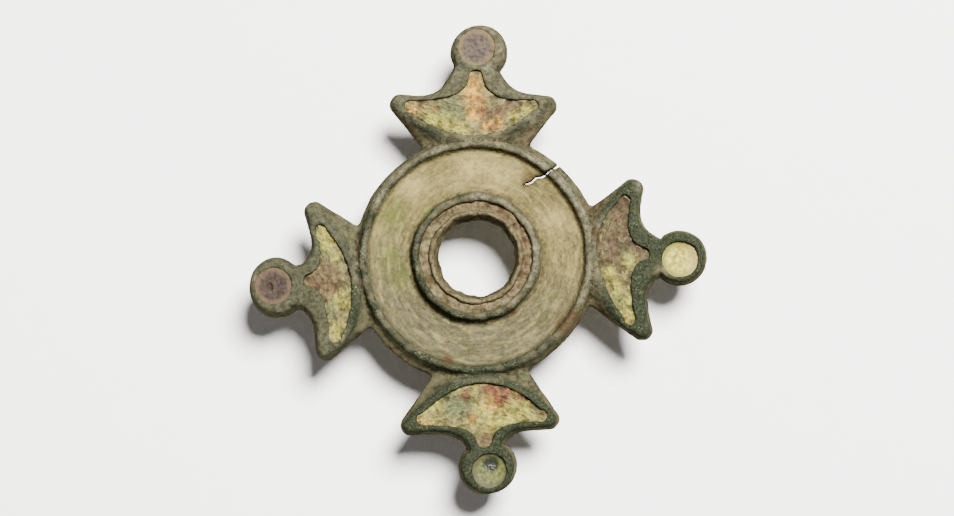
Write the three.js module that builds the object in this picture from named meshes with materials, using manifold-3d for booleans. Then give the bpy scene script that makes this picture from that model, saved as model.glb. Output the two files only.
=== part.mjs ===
// A cast bronze plate brooch: a pierced ring disc with a raised collar, and four arms,
// each a crescent cell on a narrow neck with a round knob cell at its end. Enamel fills
// the cells. On the back are a hooked catchplate and a hinge with what is left of its pin.
// Millimetres, +Z up. The brooch lies face up on the fold of its catch and its hinge lugs.
import * as THREE from 'three';
import { mergeVertices } from 'three/addons/utils/BufferGeometryUtils.js';
import Module from 'manifold-3d';

// Heights above the surface that the brooch lies on.
const BACK = 5.8;
const WEB_TOP = BACK + 1.15;
const CELL_FLOOR = BACK + 1.0;
const INLAY_TOP = BACK + 2.05;
const WALL_TOP = BACK + 2.3;
const COLLAR_TOP = BACK + 2.5;

// The ring disc, as radii.
const HOLE_RADIUS = 3.3;
const INNER_RIDGE = 3.92;
const CHANNEL = [4.2, 4.88];
const CHANNEL_FLOOR = BACK + 1.3;
const OUTER_RIDGE = 5.22;
const FIELD = [5.85, 9.15];
const RIM_RIDGE = 9.9;
const DISC_RADIUS = 10.6;
// The casting's foot spreads past the rim on one side of the disc.
const SPREAD = { bearing: 222, shift: 0.55 };

// The raised part of an arm as [height, in from the plate's edge, out past the belly]: a
// steep flank all round, a gentle one towards the disc, and a rounded shoulder.
const FLANK = [
  [WEB_TOP - 0.3, 0.04, 1.3], [WALL_TOP - 0.28, 0.33, 0.62], [WALL_TOP, 0.55, 0.4],
];

// The knobs' flanks stand steeper, by this share of the inset.
const KNOB_STEEPNESS = 0.7;

// The cells: the least wall round a crescent, and the hair of room round each inlay.
const WALL = 0.34;
const INLAY_GAP = 0.15;
const INLAY_ROUND = 0.18;
const HORN_RADIUS = 0.97;
const TIP_RADIUS = 0.52;

// The arms. Each is drawn lying along +X from the disc's centre and then turned to its
// bearing; [cw, ccw] are its clockwise and anticlockwise sides as seen from the front.
const ARMS = [
  {
    name: 'top', bearing: 90.5,
    feet: [[9.7, -4.5], [9.5, 4.5]], horns: [[13.3, -6.2], [13.6, 6.6]], waists: [14.45, 14.3],
    neck: [[16.4, -2.15], [16.5, 2.0]], knob: [18.15, -0.35], knobRadii: [2.4, 2.4],
    tips: [[13.25, -5.05], [13.35, 5.7]], belly: [10.65, 0], cellWaists: [13.6, 13.8],
    cellNeck: [15.8, -0.1], neckHalf: 0.6, eye: [18.4, -0.2], eyeRadius: 1.58,
  },
  {
    name: 'right', bearing: -0.5,
    feet: [[10.1, -4.2], [9.8, 4.3]], horns: [[14.5, -6.25], [13.6, 6.05]], waists: [14.85, 14.2],
    neck: [[16.2, -1.65], [16.2, 1.75]], knob: [17.8, 0.1], knobRadii: [2.35, 2.35],
    tips: [[13.5, -5.4], [12.95, 4.95]], belly: [10.55, 0.3], cellWaists: [13.3, 13.2],
    cellNeck: [14.6, 0.3], neckHalf: 0.6, eye: [17.8, -0.1], eyeRadius: 1.56,
  },
  {
    name: 'bottom', bearing: -87.5,
    feet: [[10.2, -4.4], [10.1, 4.1]], horns: [[14.45, -6.3], [14.4, 5.7]], waists: [15.3, 15.3],
    neck: [[16.8, -1.55], [16.5, 1.65]], knob: [18.4, 0.05], knobRadii: [2.35, 2.55],
    tips: [[14.0, -5.3], [14.1, 5.15]], belly: [11.1, 0.1], cellWaists: [14.7, 14.6],
    cellNeck: [16.0, 0], neckHalf: 0.7, eye: [18.6, 0.1], eyeRadius: 1.5,
  },
  {
    name: 'left', bearing: 188.5,
    feet: [[10.0, -4.3], [10.2, 4.6]], horns: [[13.5, -6.15], [14.25, 6.0]], waists: [14.0, 15.0],
    neck: [[15.4, -1.75], [16.0, 2.25]], knob: [17.85, 0], knobRadii: [2.35, 2.6],
    tips: [[13.15, -4.4], [13.2, 5.15]], belly: [11.15, 0.4], cellWaists: [13.3, 13.6],
    cellNeck: [14.8, -0.1], neckHalf: 0.5, eye: [18.0, -0.1], eyeRadius: 1.58,
  },
];

// The rounding of the plate's edges.
const EDGE = { draft: 0.22, rise: 0.3 };

// The crack that runs in through the rim between the top and right arms.
const CRACK = [[7.6, 8.35], [6.4, 7.5], [5.8, 7.05], [5.3, 7.05], [4.85, 6.6]];
const CRACK_WIDTH = 0.4;

// The catchplate on the back of the top arm, a web folded over into a hook. Its section
// is a middle line of [x, z] and a thickness; its plan is trimmed to a leaf shape. The
// catch and the hinge face each other along a line turned a little from the arms.
const BACK_BEARING = 4.5;
const CATCH_FOLD = [
  [1.85, 6.2], [1.75, 4.0], [1.45, 1.9], [0.2, 0.36], [-1.6, 0.75], [-2.9, 1.75], [-3.6, 2.9],
];
const CATCH_THICKNESS = 0.85;
const CATCH_REACH = [10.0, 19.7];

// The hinge on the back at the root of the bottom arm.
const HINGE_Y = -9.6;
const AXLE_Z = 2.7;
const AXLE_RADIUS = 0.65;
const AXLE_REACH = [-2.8, 2.6];
const FIT_GAP = 0.3;
const LEDGE = { x: [-2.95, 2.75], y: [-12.1, -7.1], z: [5.0, 6.2] };
const LUGS = [[-2.6, -1.7], [0.95, 2.4]];
const LUG_HALF_LENGTH = 2.35;
const LUG_TIP_RISE = 2.6;
const HEAD_REACH = [-1.4, 0.65];
const HEAD_RADIUS = 1.6;
const STUB = { from: [-1.0, -8.6, 2.9], to: [-0.2, -5.5, 3.0], radii: [0.5, 0.42] };

// What comes from the other shapes is trimmed flat at the surface that the brooch lies on.
const SLAB = 60;

const BRONZE = { color: 0x7d7a5a, roughness: 0.62, metalness: 0.55 };
const ENAMELS = {
  top: { color: 0xc3a76c, roughness: 0.85, metalness: 0 },
  right: { color: 0xcdc58d, roughness: 0.85, metalness: 0 },
  bottom: { color: 0xc7bd7c, roughness: 0.85, metalness: 0 },
  left: { color: 0xc9b98a, roughness: 0.85, metalness: 0 },
};
const EYES = {
  top: { color: 0x9a8a7a, roughness: 0.8, metalness: 0 },
  right: { color: 0xd6d0a0, roughness: 0.8, metalness: 0 },
  bottom: { color: 0xb7b070, roughness: 0.6, metalness: 0 },
  left: { color: 0x8d7468, roughness: 0.8, metalness: 0 },
};
const RING_INLAY = { color: 0x8f6a4c, roughness: 0.9, metalness: 0 };
const RUSTY_IRON = { color: 0x7a4a2c, roughness: 0.9, metalness: 0.3 };
const PIN_BRONZE = { color: 0x3f4a34, roughness: 0.4, metalness: 0.7 };

const LATHE_STEPS = 36;
const CURVE_STEPS = 5;

const wasm = await Module();
wasm.setup();

// A closed three.js geometry as a solid that can be joined and cut.
function solid(geometry) {
  const bare = geometry.index ? geometry.toNonIndexed() : geometry;
  bare.deleteAttribute('normal');
  bare.deleteAttribute('uv');
  const merged = mergeVertices(bare, 1e-4);
  return new wasm.Manifold(new wasm.Mesh({
    numProp: 3,
    vertProperties: new Float32Array(merged.attributes.position.array),
    triVerts: new Uint32Array(merged.index.array),
  }));
}

// A named mesh of a finished solid.
function node(name, body, look) {
  const { numProp, vertProperties, triVerts } = body.getMesh();
  const positions = new Float32Array(triVerts.length * 3);
  triVerts.forEach((vertex, i) => {
    for (let axis = 0; axis < 3; axis += 1) {
      positions[i * 3 + axis] = vertProperties[vertex * numProp + axis];
    }
  });
  const geometry = new THREE.BufferGeometry();
  geometry.setAttribute('position', new THREE.BufferAttribute(positions, 3));
  geometry.computeVertexNormals();
  const mesh = new THREE.Mesh(geometry, new THREE.MeshStandardMaterial(look));
  mesh.name = name;
  return mesh;
}

// An outline raised from low to high. Its ends stand out from the outline by grow, and
// over the height rise the flank swells by draft more.
function prism(shape, low, high, { grow = 0, draft = 0, rise = 0, steps = CURVE_STEPS } = {}) {
  const geometry = new THREE.ExtrudeGeometry(shape, {
    depth: high - low - 2 * rise,
    bevelEnabled: grow !== 0 || draft !== 0,
    bevelThickness: rise,
    bevelSize: draft,
    bevelOffset: grow,
    bevelSegments: draft === 0 ? 0 : 1,
    curveSegments: steps,
  });
  return geometry.translate(0, 0, low + rise);
}

// A prism that runs along X, its outline drawn in Y and Z.
function prismAlongX(shape, from, to) {
  const turn = new THREE.Matrix4().makeBasis(
    new THREE.Vector3(0, 1, 0), new THREE.Vector3(0, 0, 1), new THREE.Vector3(1, 0, 0));
  return solid(prism(shape, from, to).applyMatrix4(turn));
}

// A prism that runs along Y, its outline drawn in X and Z.
function prismAlongY(shape, from, to) {
  const turn = new THREE.Matrix4().makeBasis(
    new THREE.Vector3(1, 0, 0), new THREE.Vector3(0, 0, 1), new THREE.Vector3(0, -1, 0));
  return solid(prism(shape, -to, -from).applyMatrix4(turn));
}

function box(x, y, z) {
  const geometry = new THREE.BoxGeometry(x[1] - x[0], y[1] - y[0], z[1] - z[0]);
  return solid(geometry.translate((x[0] + x[1]) / 2, (y[0] + y[1]) / 2, (z[0] + z[1]) / 2));
}

// A ring turned about the disc's axis from a closed profile of [radius, height].
function turned(profile) {
  const points = [...profile, profile[0]].map(([radius, height]) => new THREE.Vector2(radius, height));
  return solid(new THREE.LatheGeometry(points, LATHE_STEPS).rotateX(Math.PI / 2));
}

function disc() {
  return turned([
    [HOLE_RADIUS, BACK], [DISC_RADIUS - 0.25, BACK], [DISC_RADIUS, BACK + 0.3],
    [DISC_RADIUS - 0.05, WEB_TOP], [RIM_RIDGE + 0.22, WALL_TOP - 0.1], [RIM_RIDGE, WALL_TOP],
    [RIM_RIDGE - 0.25, WALL_TOP - 0.08], [FIELD[1], WEB_TOP + 0.05], [FIELD[0], WEB_TOP],
    [OUTER_RIDGE + 0.3, COLLAR_TOP - 0.3], [OUTER_RIDGE, COLLAR_TOP],
    [CHANNEL[1] + 0.08, COLLAR_TOP - 0.25], [CHANNEL[1], CHANNEL_FLOOR], [CHANNEL[0], CHANNEL_FLOOR],
    [CHANNEL[0] - 0.06, COLLAR_TOP - 0.35], [INNER_RIDGE, COLLAR_TOP - 0.15],
    [INNER_RIDGE - 0.2, COLLAR_TOP - 0.35], [HOLE_RADIUS + 0.12, WEB_TOP - 0.3],
  ]);
}

// One side of an arm, from the end of a horn in to the neck.
function flankTo(shape, from, waist, to) {
  shape.bezierCurveTo(waist, from * 0.6, waist + 0.1, to[1] * 1.5, to[0], to[1]);
}

// The plate under an arm: straight webs out to the horns, hollow flanks in to the neck,
// and the knob.
function armOutline({ feet, horns, waists, neck, knob, knobRadii }) {
  const headings = horns.map(([u, w], side) => Math.atan2(w - feet[side][1], u - feet[side][0]));
  const knobAngles = neck.map(([u, w]) => (
    Math.atan2((w - knob[1]) / knobRadii[1], (u - knob[0]) / knobRadii[0])));
  const shape = new THREE.Shape();
  shape.moveTo(OUTER_RIDGE, feet[0][1] / 2);
  shape.lineTo(...feet[0]);
  shape.absarc(...horns[0], HORN_RADIUS, headings[0] - Math.PI / 2, 0, false);
  flankTo(shape, horns[0][1], waists[0], neck[0]);
  shape.absellipse(...knob, ...knobRadii, knobAngles[0], knobAngles[1], false, 0);
  shape.lineTo(...neck[1]);
  const start = [horns[1][0] + HORN_RADIUS, horns[1][1]];
  shape.bezierCurveTo(waists[1] + 0.1, neck[1][1] * 1.5, waists[1], horns[1][1] * 0.6, ...start);
  shape.absarc(...horns[1], HORN_RADIUS, 0, headings[1] + Math.PI / 2, false);
  shape.lineTo(...feet[1]);
  shape.lineTo(OUTER_RIDGE, feet[1][1] / 2);
  return shape;
}

// The crescent cell of an arm: a belly towards the disc, two rounded tips, and hollow
// sides that run out to the neck.
function crescentOutline({ tips, tipRadius = TIP_RADIUS, belly, cellWaists, cellNeck, neckHalf }) {
  const [cw, ccw] = tips;
  const inner = [cw, ccw].map(([u, w]) => [u - tipRadius, w]);
  const pull = [0, 1].map((axis) => 2 * belly[axis] - (inner[0][axis] + inner[1][axis]) / 2);
  const shape = new THREE.Shape();
  shape.moveTo(...inner[1]);
  shape.quadraticCurveTo(...pull, ...inner[0]);
  shape.absarc(...cw, tipRadius, -Math.PI, 0, false);
  flankTo(shape, cw[1], cellWaists[0], [cellNeck[0], cellNeck[1] - neckHalf]);
  shape.absarc(...cellNeck, neckHalf, -Math.PI / 2, Math.PI / 2, false);
  const end = [ccw[0] + tipRadius, ccw[1]];
  const neckSide = (cellNeck[1] + neckHalf) * 1.5;
  shape.bezierCurveTo(cellWaists[1] + 0.1, neckSide, cellWaists[1], ccw[1] * 0.6, ...end);
  shape.absarc(...ccw, tipRadius, 0, Math.PI, false);
  return shape;
}

// The outline of an arm's raised part, a crescent that is joined to the knob, some way in
// from the plate's edge and some way out past the belly of the cell.
function raisedOutline({ horns, waists, neck, belly }, inset, skirt) {
  const [cw, ccw] = neck;
  return crescentOutline({
    tips: horns,
    tipRadius: HORN_RADIUS - inset,
    belly: [belly[0] - skirt, belly[1]],
    cellWaists: waists.map((waist) => waist - inset),
    cellNeck: [(cw[0] + ccw[0]) / 2, (cw[1] + ccw[1]) / 2],
    neckHalf: (ccw[1] - cw[1]) / 2 - inset,
  });
}

// An ellipse or a circle, in two halves.
function ellipse(middle, radii) {
  const shape = new THREE.Shape();
  shape.absellipse(...middle, ...radii, 0, Math.PI, false, 0);
  shape.absellipse(...middle, ...radii, Math.PI, 2 * Math.PI, false, 0);
  return shape;
}

function circle(middle, radius) {
  return ellipse(middle, [radius, radius]);
}

// A stack of [outline, height], each outline with as many points as the next, skinned and
// closed at both ends.
function loft(stack) {
  const rings = stack.map(([outline]) => outline.getPoints(CURVE_STEPS).slice(1));
  const count = rings[0].length;
  const positions = rings.flatMap((ring, level) => ring.flatMap(({ x, y }) => [x, y, stack[level][1]]));
  const cap = THREE.ShapeUtils.triangulateShape(rings[0], []);
  const last = (rings.length - 1) * count;
  const index = cap.flatMap(([a, b, c]) => [c, b, a, last + a, last + b, last + c]);
  for (let i = 0; i < last; i += 1) {
    const next = i % count === count - 1 ? i + 1 - count : i + 1;
    index.push(i, next, next + count, i, next + count, i + count);
  }
  const geometry = new THREE.BufferGeometry();
  geometry.setAttribute('position', new THREE.Float32BufferAttribute(positions, 3));
  geometry.setIndex(index);
  return geometry;
}

// Puts what was drawn along +X on its arm's bearing.
function onBearing(geometry, { bearing }) {
  return solid(geometry.rotateZ(THREE.MathUtils.degToRad(bearing)));
}

// The foot of the disc where it spreads: the disc's own outline, shifted to one side.
function spreadFoot() {
  const outline = circle([SPREAD.shift, 0], DISC_RADIUS);
  const foot = prism(outline, BACK, WEB_TOP, { grow: -EDGE.draft, ...EDGE, steps: LATHE_STEPS / 4 });
  const core = solid(prism(circle([0, 0], FIELD[1]), BACK - 1, WALL_TOP));
  return onBearing(foot, SPREAD).subtract(core);
}

// The raised part of an arm: horns and neck as one block with drafted sides, and the knob.
function raisedBlock(arm) {
  const block = FLANK.map(([height, inset, skirt]) => [raisedOutline(arm, inset, skirt), height]);
  const knob = FLANK.map(([height, inset]) => [
    ellipse(arm.knob, arm.knobRadii.map((radius) => radius - KNOB_STEEPNESS * inset)), height,
  ]);
  return onBearing(loft(block), arm).add(onBearing(loft(knob), arm));
}

function crescentWall(arm) {
  return onBearing(prism(crescentOutline(arm), BACK + 0.15, WALL_TOP, { grow: WALL }), arm);
}

function cellHollow(outline, arm) {
  return onBearing(prism(outline, CELL_FLOOR, WALL_TOP + 1), arm);
}

function inlay(outline, arm) {
  const rounding = { grow: -INLAY_GAP - INLAY_ROUND, draft: INLAY_ROUND, rise: INLAY_ROUND, steps: 4 };
  return onBearing(prism(outline, CELL_FLOOR, INLAY_TOP, rounding), arm);
}

// A shape round a middle line, as thick as given, tapering a little towards its far end.
function ribbon(middle, thickness) {
  const spine = new THREE.SplineCurve(middle.map(([x, z]) => new THREE.Vector2(x, z)));
  const steps = 16;
  const sides = [[], []];
  for (let i = 0; i <= steps; i += 1) {
    const at = spine.getPoint(i / steps);
    const along = spine.getTangent(i / steps);
    const half = (thickness / 2) * (1 - 0.3 * (i / steps));
    sides[0].push(new THREE.Vector2(at.x - along.y * half, at.y + along.x * half));
    sides[1].unshift(new THREE.Vector2(at.x + along.y * half, at.y - along.x * half));
  }
  return new THREE.Shape([...sides[0], ...sides[1]]);
}

// The catchplate: the folded section run along the arm, trimmed to the flap's leaf shape.
function catchplate() {
  const [near, far] = CATCH_REACH;
  const folded = prismAlongY(ribbon(CATCH_FOLD, CATCH_THICKNESS), near, far);
  const plan = new THREE.Shape();
  plan.moveTo(4, near);
  plan.lineTo(4, far);
  plan.lineTo(-0.2, far);
  plan.bezierCurveTo(-0.6, far - 2.5, -4.8, near + 4.0, -2.0, near);
  return folded.intersect(solid(prism(plan, 0, WEB_TOP)));
}

// A hinge lug: a tab that narrows to a round tip, pierced for the axle.
function lug([from, to]) {
  const tab = new THREE.Shape();
  tab.moveTo(HINGE_Y - LUG_HALF_LENGTH, LEDGE.z[1]);
  tab.lineTo(HINGE_Y - LUG_HALF_LENGTH + 0.25, LUG_TIP_RISE);
  const radii = [LUG_HALF_LENGTH - 0.25, LUG_TIP_RISE + 0.06];
  tab.absellipse(HINGE_Y, LUG_TIP_RISE, ...radii, Math.PI, 2 * Math.PI, false, 0);
  tab.lineTo(HINGE_Y + LUG_HALF_LENGTH, LEDGE.z[1]);
  return prismAlongX(tab, from, to).subtract(rod(AXLE_RADIUS + FIT_GAP, [from - 1, to + 1]));
}

// A round bar along the hinge's axis.
function rod(radius, [from, to]) {
  return prismAlongX(circle([HINGE_Y, AXLE_Z], radius), from, to);
}

// The pin's pierced head, seized between the lugs, with the broken root of the pin.
function pinStub() {
  const from = new THREE.Vector3(...STUB.from);
  const to = new THREE.Vector3(...STUB.to);
  const along = to.clone().sub(from);
  const shaft = new THREE.CylinderGeometry(STUB.radii[1], STUB.radii[0], along.length(), 12);
  const up = new THREE.Vector3(0, 1, 0);
  const turn = new THREE.Quaternion().setFromUnitVectors(up, along.clone().normalize());
  const middle = from.clone().add(to).multiplyScalar(0.5);
  shaft.applyQuaternion(turn).translate(middle.x, middle.y, middle.z);
  const bore = rod(AXLE_RADIUS + FIT_GAP, [HEAD_REACH[0] - 1, HEAD_REACH[1] + 1]);
  return rod(HEAD_RADIUS, HEAD_REACH).add(solid(shaft)).subtract(bore);
}

// A wedge that follows the crack's line, widest at the disc's edge.
function crack() {
  const sides = [[], []];
  CRACK.forEach(([x, y], i) => {
    const half = (CRACK_WIDTH / 2) * (1 - i / (CRACK.length - 1));
    sides[0].push(new THREE.Vector2(x - half * 0.6, y + half * 0.8));
    sides[1].unshift(new THREE.Vector2(x + half * 0.6, y - half * 0.8));
  });
  sides[1].shift();
  return solid(prism(new THREE.Shape([...sides[0], ...sides[1]]), BACK - 1, COLLAR_TOP + 1));
}

// Turns a solid of the back onto the line from the hinge to the catch.
function onBack(fitting) {
  return fitting.rotate([0, 0, BACK_BEARING]);
}

// The whole casting in one piece.
function casting(cells) {
  let body = disc().add(spreadFoot());
  for (const arm of ARMS) {
    const plate = prism(armOutline(arm), BACK, WEB_TOP, { grow: -EDGE.draft, ...EDGE });
    body = body.add(onBearing(plate, arm));
  }
  const field = turned([
    [INNER_RIDGE, WEB_TOP + 0.01], [FIELD[1], WEB_TOP + 0.01], [FIELD[1] + 0.3, WALL_TOP + 1],
    [INNER_RIDGE, WALL_TOP + 1],
  ]);
  const raised = ARMS.flatMap((arm) => [raisedBlock(arm), crescentWall(arm)]);
  const hollows = cells.map(({ outline, arm }) => cellHollow(outline, arm));
  const proud = raised.reduce((all, block) => all.add(block)).subtract(field);
  body = hollows.reduce((all, hollow) => all.subtract(hollow), body.add(proud));
  body = body.subtract(crack());
  const fittings = LUGS.map(lug).reduce((all, tab) => all.add(tab), box(LEDGE.x, LEDGE.y, LEDGE.z));
  body = body.add(onBack(fittings)).add(onBack(catchplate()));
  return body.intersect(box([-SLAB, SLAB], [-SLAB, SLAB], [0, SLAB]));
}

const cells = ARMS.flatMap((arm) => [
  { name: `crescent_enamel_${arm.name}`, outline: crescentOutline(arm), look: ENAMELS[arm.name], arm },
  { name: `knob_enamel_${arm.name}`, outline: circle(arm.eye, arm.eyeRadius), look: EYES[arm.name], arm },
]);
const body = casting(cells);
const ringInlay = turned([
  [CHANNEL[0] + INLAY_GAP, CHANNEL_FLOOR], [CHANNEL[1] - INLAY_GAP, CHANNEL_FLOOR],
  [CHANNEL[1] - INLAY_GAP, INLAY_TOP - 0.1], [CHANNEL[0] + INLAY_GAP, INLAY_TOP - 0.1],
]);

const brooch = new THREE.Group();
brooch.add(node('brooch_body', body, BRONZE));
for (const { name, outline, look, arm } of cells) {
  brooch.add(node(name, inlay(outline, arm), look));
}
brooch.add(node('collar_enamel', ringInlay, RING_INLAY));
brooch.add(node('hinge_axle', onBack(rod(AXLE_RADIUS, AXLE_REACH)), RUSTY_IRON));
brooch.add(node('pin_stub', onBack(pinStub()), PIN_BRONZE));

// The origin is the middle of the brooch's box, on the surface it lies on.
const { min, max } = body.boundingBox();
brooch.position.set(-(min[0] + max[0]) / 2, -(min[1] + max[1]) / 2, 0);

export default brooch;
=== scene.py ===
# %% [markdown]
# # A Roman plate brooch
#
# The brooch is one bronze casting: a ring disc with a collar round its hole, four arms with
# enamel in crescent and round cells, and on the back a hooked catchplate and the lugs of a
# hinge. Two thousand years in the ground have turned the bronze olive and dark green, and
# the enamel to a crumbly yellow crust. Of the pin only the head and root are left, on a
# rusted axle.
#
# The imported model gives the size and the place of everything. This script puts the real
# surfaces over it. Lengths are worked out in millimetres and turned to metres at the end.

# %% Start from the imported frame
import math

import bpy
import numpy as np
from mathutils import Matrix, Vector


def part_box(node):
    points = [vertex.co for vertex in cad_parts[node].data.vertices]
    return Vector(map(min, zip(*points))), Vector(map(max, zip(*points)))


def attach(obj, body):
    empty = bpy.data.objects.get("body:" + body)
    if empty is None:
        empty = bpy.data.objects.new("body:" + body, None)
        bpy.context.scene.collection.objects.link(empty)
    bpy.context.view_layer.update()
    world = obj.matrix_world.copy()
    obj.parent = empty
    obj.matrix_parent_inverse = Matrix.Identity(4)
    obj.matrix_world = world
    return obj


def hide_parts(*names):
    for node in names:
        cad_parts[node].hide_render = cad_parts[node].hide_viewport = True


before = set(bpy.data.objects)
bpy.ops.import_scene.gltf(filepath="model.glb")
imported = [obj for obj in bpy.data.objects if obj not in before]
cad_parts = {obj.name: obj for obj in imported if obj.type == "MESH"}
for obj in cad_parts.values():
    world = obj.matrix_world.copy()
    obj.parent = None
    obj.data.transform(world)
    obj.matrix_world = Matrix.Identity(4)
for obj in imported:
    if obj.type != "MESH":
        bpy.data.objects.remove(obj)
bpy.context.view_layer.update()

MM = 0.001
print("nodes in the frame:", ", ".join(sorted(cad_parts)))

# %% [markdown]
# ## Where things are
#
# The collar's inlay is a ring round the disc's axis, so its box gives the disc's middle.
# Heights are counted from the flat back of the plate, which lies the collar's full height
# under the top of the casting.

# %% Read the disc's middle and the back's height
COLLAR_TOP = 2.5
ring_low, ring_high = (np.array(corner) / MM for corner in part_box("collar_enamel"))
body_low, body_high = (np.array(corner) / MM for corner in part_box("brooch_body"))
MIDDLE = (ring_low[:2] + ring_high[:2]) / 2
BACK = body_high[2] - COLLAR_TOP
print("disc's middle", MIDDLE.round(3), "mm, back of the plate at", round(BACK, 3), "mm")

# %% [markdown]
# ## The sizes of the casting
#
# Each arm is drawn lying along +X from the disc's middle, with u outwards and w across, and
# then turned to its bearing. The four arms were filed by hand, so no two have quite the
# same horns, necks and knobs.

# %% Name the sizes
DISC_RADIUS = 10.6
SPREADS = [(222.0, 0.55), (42.0, 0.35)]
CELL_FLOOR = 1.0
WALL_TOP = 2.3
INLAY_TOP = 2.05
HORN_RADIUS = 0.97
TIP_RADIUS = 0.52

ARMS = {
    "top": dict(
        bearing=90.5, feet=[(9.7, -4.5), (9.5, 4.5)], horns=[(13.3, -6.2), (13.6, 6.6)],
        waists=[14.45, 14.3], neck=[(16.4, -2.15), (16.5, 2.0)], knob=(18.15, -0.35),
        knob_radii=(2.45, 2.5), tips=[(13.25, -5.05), (13.35, 5.7)], belly=(10.65, 0.0),
        cell_waists=[13.6, 13.8], cell_neck=(15.8, -0.1), neck_half=0.6, eye=(18.4, -0.2),
        eye_radius=1.58),
    "right": dict(
        bearing=-0.5, feet=[(10.1, -4.2), (9.8, 4.3)], horns=[(14.5, -6.25), (13.6, 6.05)],
        waists=[14.85, 14.2], neck=[(16.2, -1.65), (16.2, 1.75)], knob=(17.8, 0.1),
        knob_radii=(2.4, 2.45), tips=[(13.5, -5.4), (12.95, 4.95)], belly=(10.55, 0.3),
        cell_waists=[13.3, 13.2], cell_neck=(14.6, 0.3), neck_half=0.6, eye=(17.8, -0.1),
        eye_radius=1.56),
    "bottom": dict(
        bearing=-87.5, feet=[(10.2, -4.4), (10.1, 4.1)], horns=[(14.45, -6.3), (14.4, 5.7)],
        waists=[15.3, 15.3], neck=[(16.8, -1.55), (16.5, 1.65)], knob=(18.4, 0.2),
        knob_radii=(2.38, 2.55), tips=[(14.0, -5.3), (14.1, 5.15)], belly=(11.1, 0.1),
        cell_waists=[14.7, 14.6], cell_neck=(16.0, 0.0), neck_half=0.7, eye=(18.75, 0.4),
        eye_radius=1.5),
    "left": dict(
        bearing=188.5, feet=[(10.0, -4.3), (10.2, 4.6)], horns=[(13.5, -6.15), (14.25, 6.0)],
        waists=[14.0, 15.0], neck=[(15.4, -1.75), (16.0, 2.25)], knob=(17.85, 0.0),
        knob_radii=(2.4, 2.7), tips=[(13.15, -4.4), (13.2, 5.15)], belly=(11.15, 0.4),
        cell_waists=[13.3, 13.6], cell_neck=(14.8, -0.1), neck_half=0.5, eye=(18.0, -0.1),
        eye_radius=1.58),
}
print(len(ARMS), "arms at bearings", [arm["bearing"] for arm in ARMS.values()])

# %% [markdown]
# ## Noise
#
# Cast, filed and buried metal is never quite regular. Lattice noise gives the slow wander
# of the outlines as well as pits and crust: random slopes sit on a lattice of whole
# numbers, and between them the slopes' heights are mixed by the curve 6t^5 - 15t^4 + 10t^3.

# %% Make lattice noise and layered noise
LATTICE = np.random.default_rng(7).permutation(256)
SLOPES = np.random.default_rng(11).normal(size=(256, 3))
SLOPES /= np.linalg.norm(SLOPES, axis=1, keepdims=True)


def noise(points, size, seed=0):
    """Smooth noise from -1 to 1: eight lattice slopes round each point, mixed by distance."""
    scaled = np.asarray(points) / size + 37.2 * seed
    cell = np.floor(scaled).astype(int)
    inner = scaled - cell
    blend = inner ** 3 * (inner * (inner * 6 - 15) + 10)
    total = np.zeros(len(scaled))
    for corner in np.ndindex(2, 2, 2):
        x, y, z = (cell + corner).T % 256
        slope = SLOPES[LATTICE[(LATTICE[(LATTICE[x] + y) % 256] + z) % 256]]
        weight = np.where(corner, blend, 1 - blend).prod(axis=1)
        total += weight * ((inner - corner) * slope).sum(axis=1)
    return 1.6 * total


def layered_noise(points, size, layers=4, seed=0):
    """Layers of noise, each half the size and a little over half the strength of the last."""
    layers = [(0.55 ** n) * noise(points, size / 2 ** n, seed + n) for n in range(layers)]
    return sum(layers) / 1.6


print("noise at three points:", noise(np.eye(3) * 2.3, 1.0).round(2))

# %% [markdown]
# ## Outlines
#
# An outline is a closed run of arcs and cubic curves. Its signed distance, negative inside,
# is what the casting is built from: a wall that follows a cell's edge is simply everything
# within a certain distance of it.

# %% Draw arcs, cubic curves and the outlines of plate and cells


def arc(middle, radii, start, end, count=14):
    """Points of an ellipse: middle + radii * (cos, sin), from one angle to another."""
    angle = np.linspace(start, end, count)
    return np.array(middle) + np.array(radii) * np.stack([np.cos(angle), np.sin(angle)], axis=1)


def cubic(start, pull_a, pull_b, end, count=16):
    """Points of a cubic curve from start to end, drawn towards its two pulls."""
    t = np.linspace(0, 1, count)[:, None]
    start, pull_a, pull_b, end = (np.array(p, float) for p in (start, pull_a, pull_b, end))
    return ((1 - t) ** 3 * start + 3 * t * (1 - t) ** 2 * pull_a
            + 3 * t ** 2 * (1 - t) * pull_b + t ** 3 * end)


def flank(horn, waist, neck, radius):
    """The hollow side from the end of a horn in to the neck."""
    start = (horn[0] + radius, horn[1])
    return cubic(start, (waist, horn[1] * 0.6), (waist + 0.1, neck[1] * 1.5), neck)


def plate_outline(arm):
    """The plate under an arm: straight webs, round horns, hollow flanks and the knob."""
    (foot_a, foot_b), (horn_a, horn_b) = arm["feet"], arm["horns"]
    (neck_a, neck_b), knob, radii = arm["neck"], arm["knob"], arm["knob_radii"]
    heading_a = math.atan2(horn_a[1] - foot_a[1], horn_a[0] - foot_a[0])
    heading_b = math.atan2(horn_b[1] - foot_b[1], horn_b[0] - foot_b[0])
    angle_a = math.atan2((neck_a[1] - knob[1]) / radii[1], (neck_a[0] - knob[0]) / radii[0])
    angle_b = math.atan2((neck_b[1] - knob[1]) / radii[1], (neck_b[0] - knob[0]) / radii[0])
    return np.vstack([
        [(5.2, foot_a[1] / 2), foot_a],
        arc(horn_a, HORN_RADIUS, heading_a - math.pi / 2, 0)[:-1],
        flank(horn_a, arm["waists"][0], neck_a, HORN_RADIUS),
        arc(knob, radii, angle_a, angle_b, 40)[1:-1],
        flank(horn_b, arm["waists"][1], neck_b, HORN_RADIUS)[::-1],
        arc(horn_b, HORN_RADIUS, 0, heading_b + math.pi / 2)[1:],
        [foot_b, (5.2, foot_b[1] / 2)],
    ])


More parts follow.
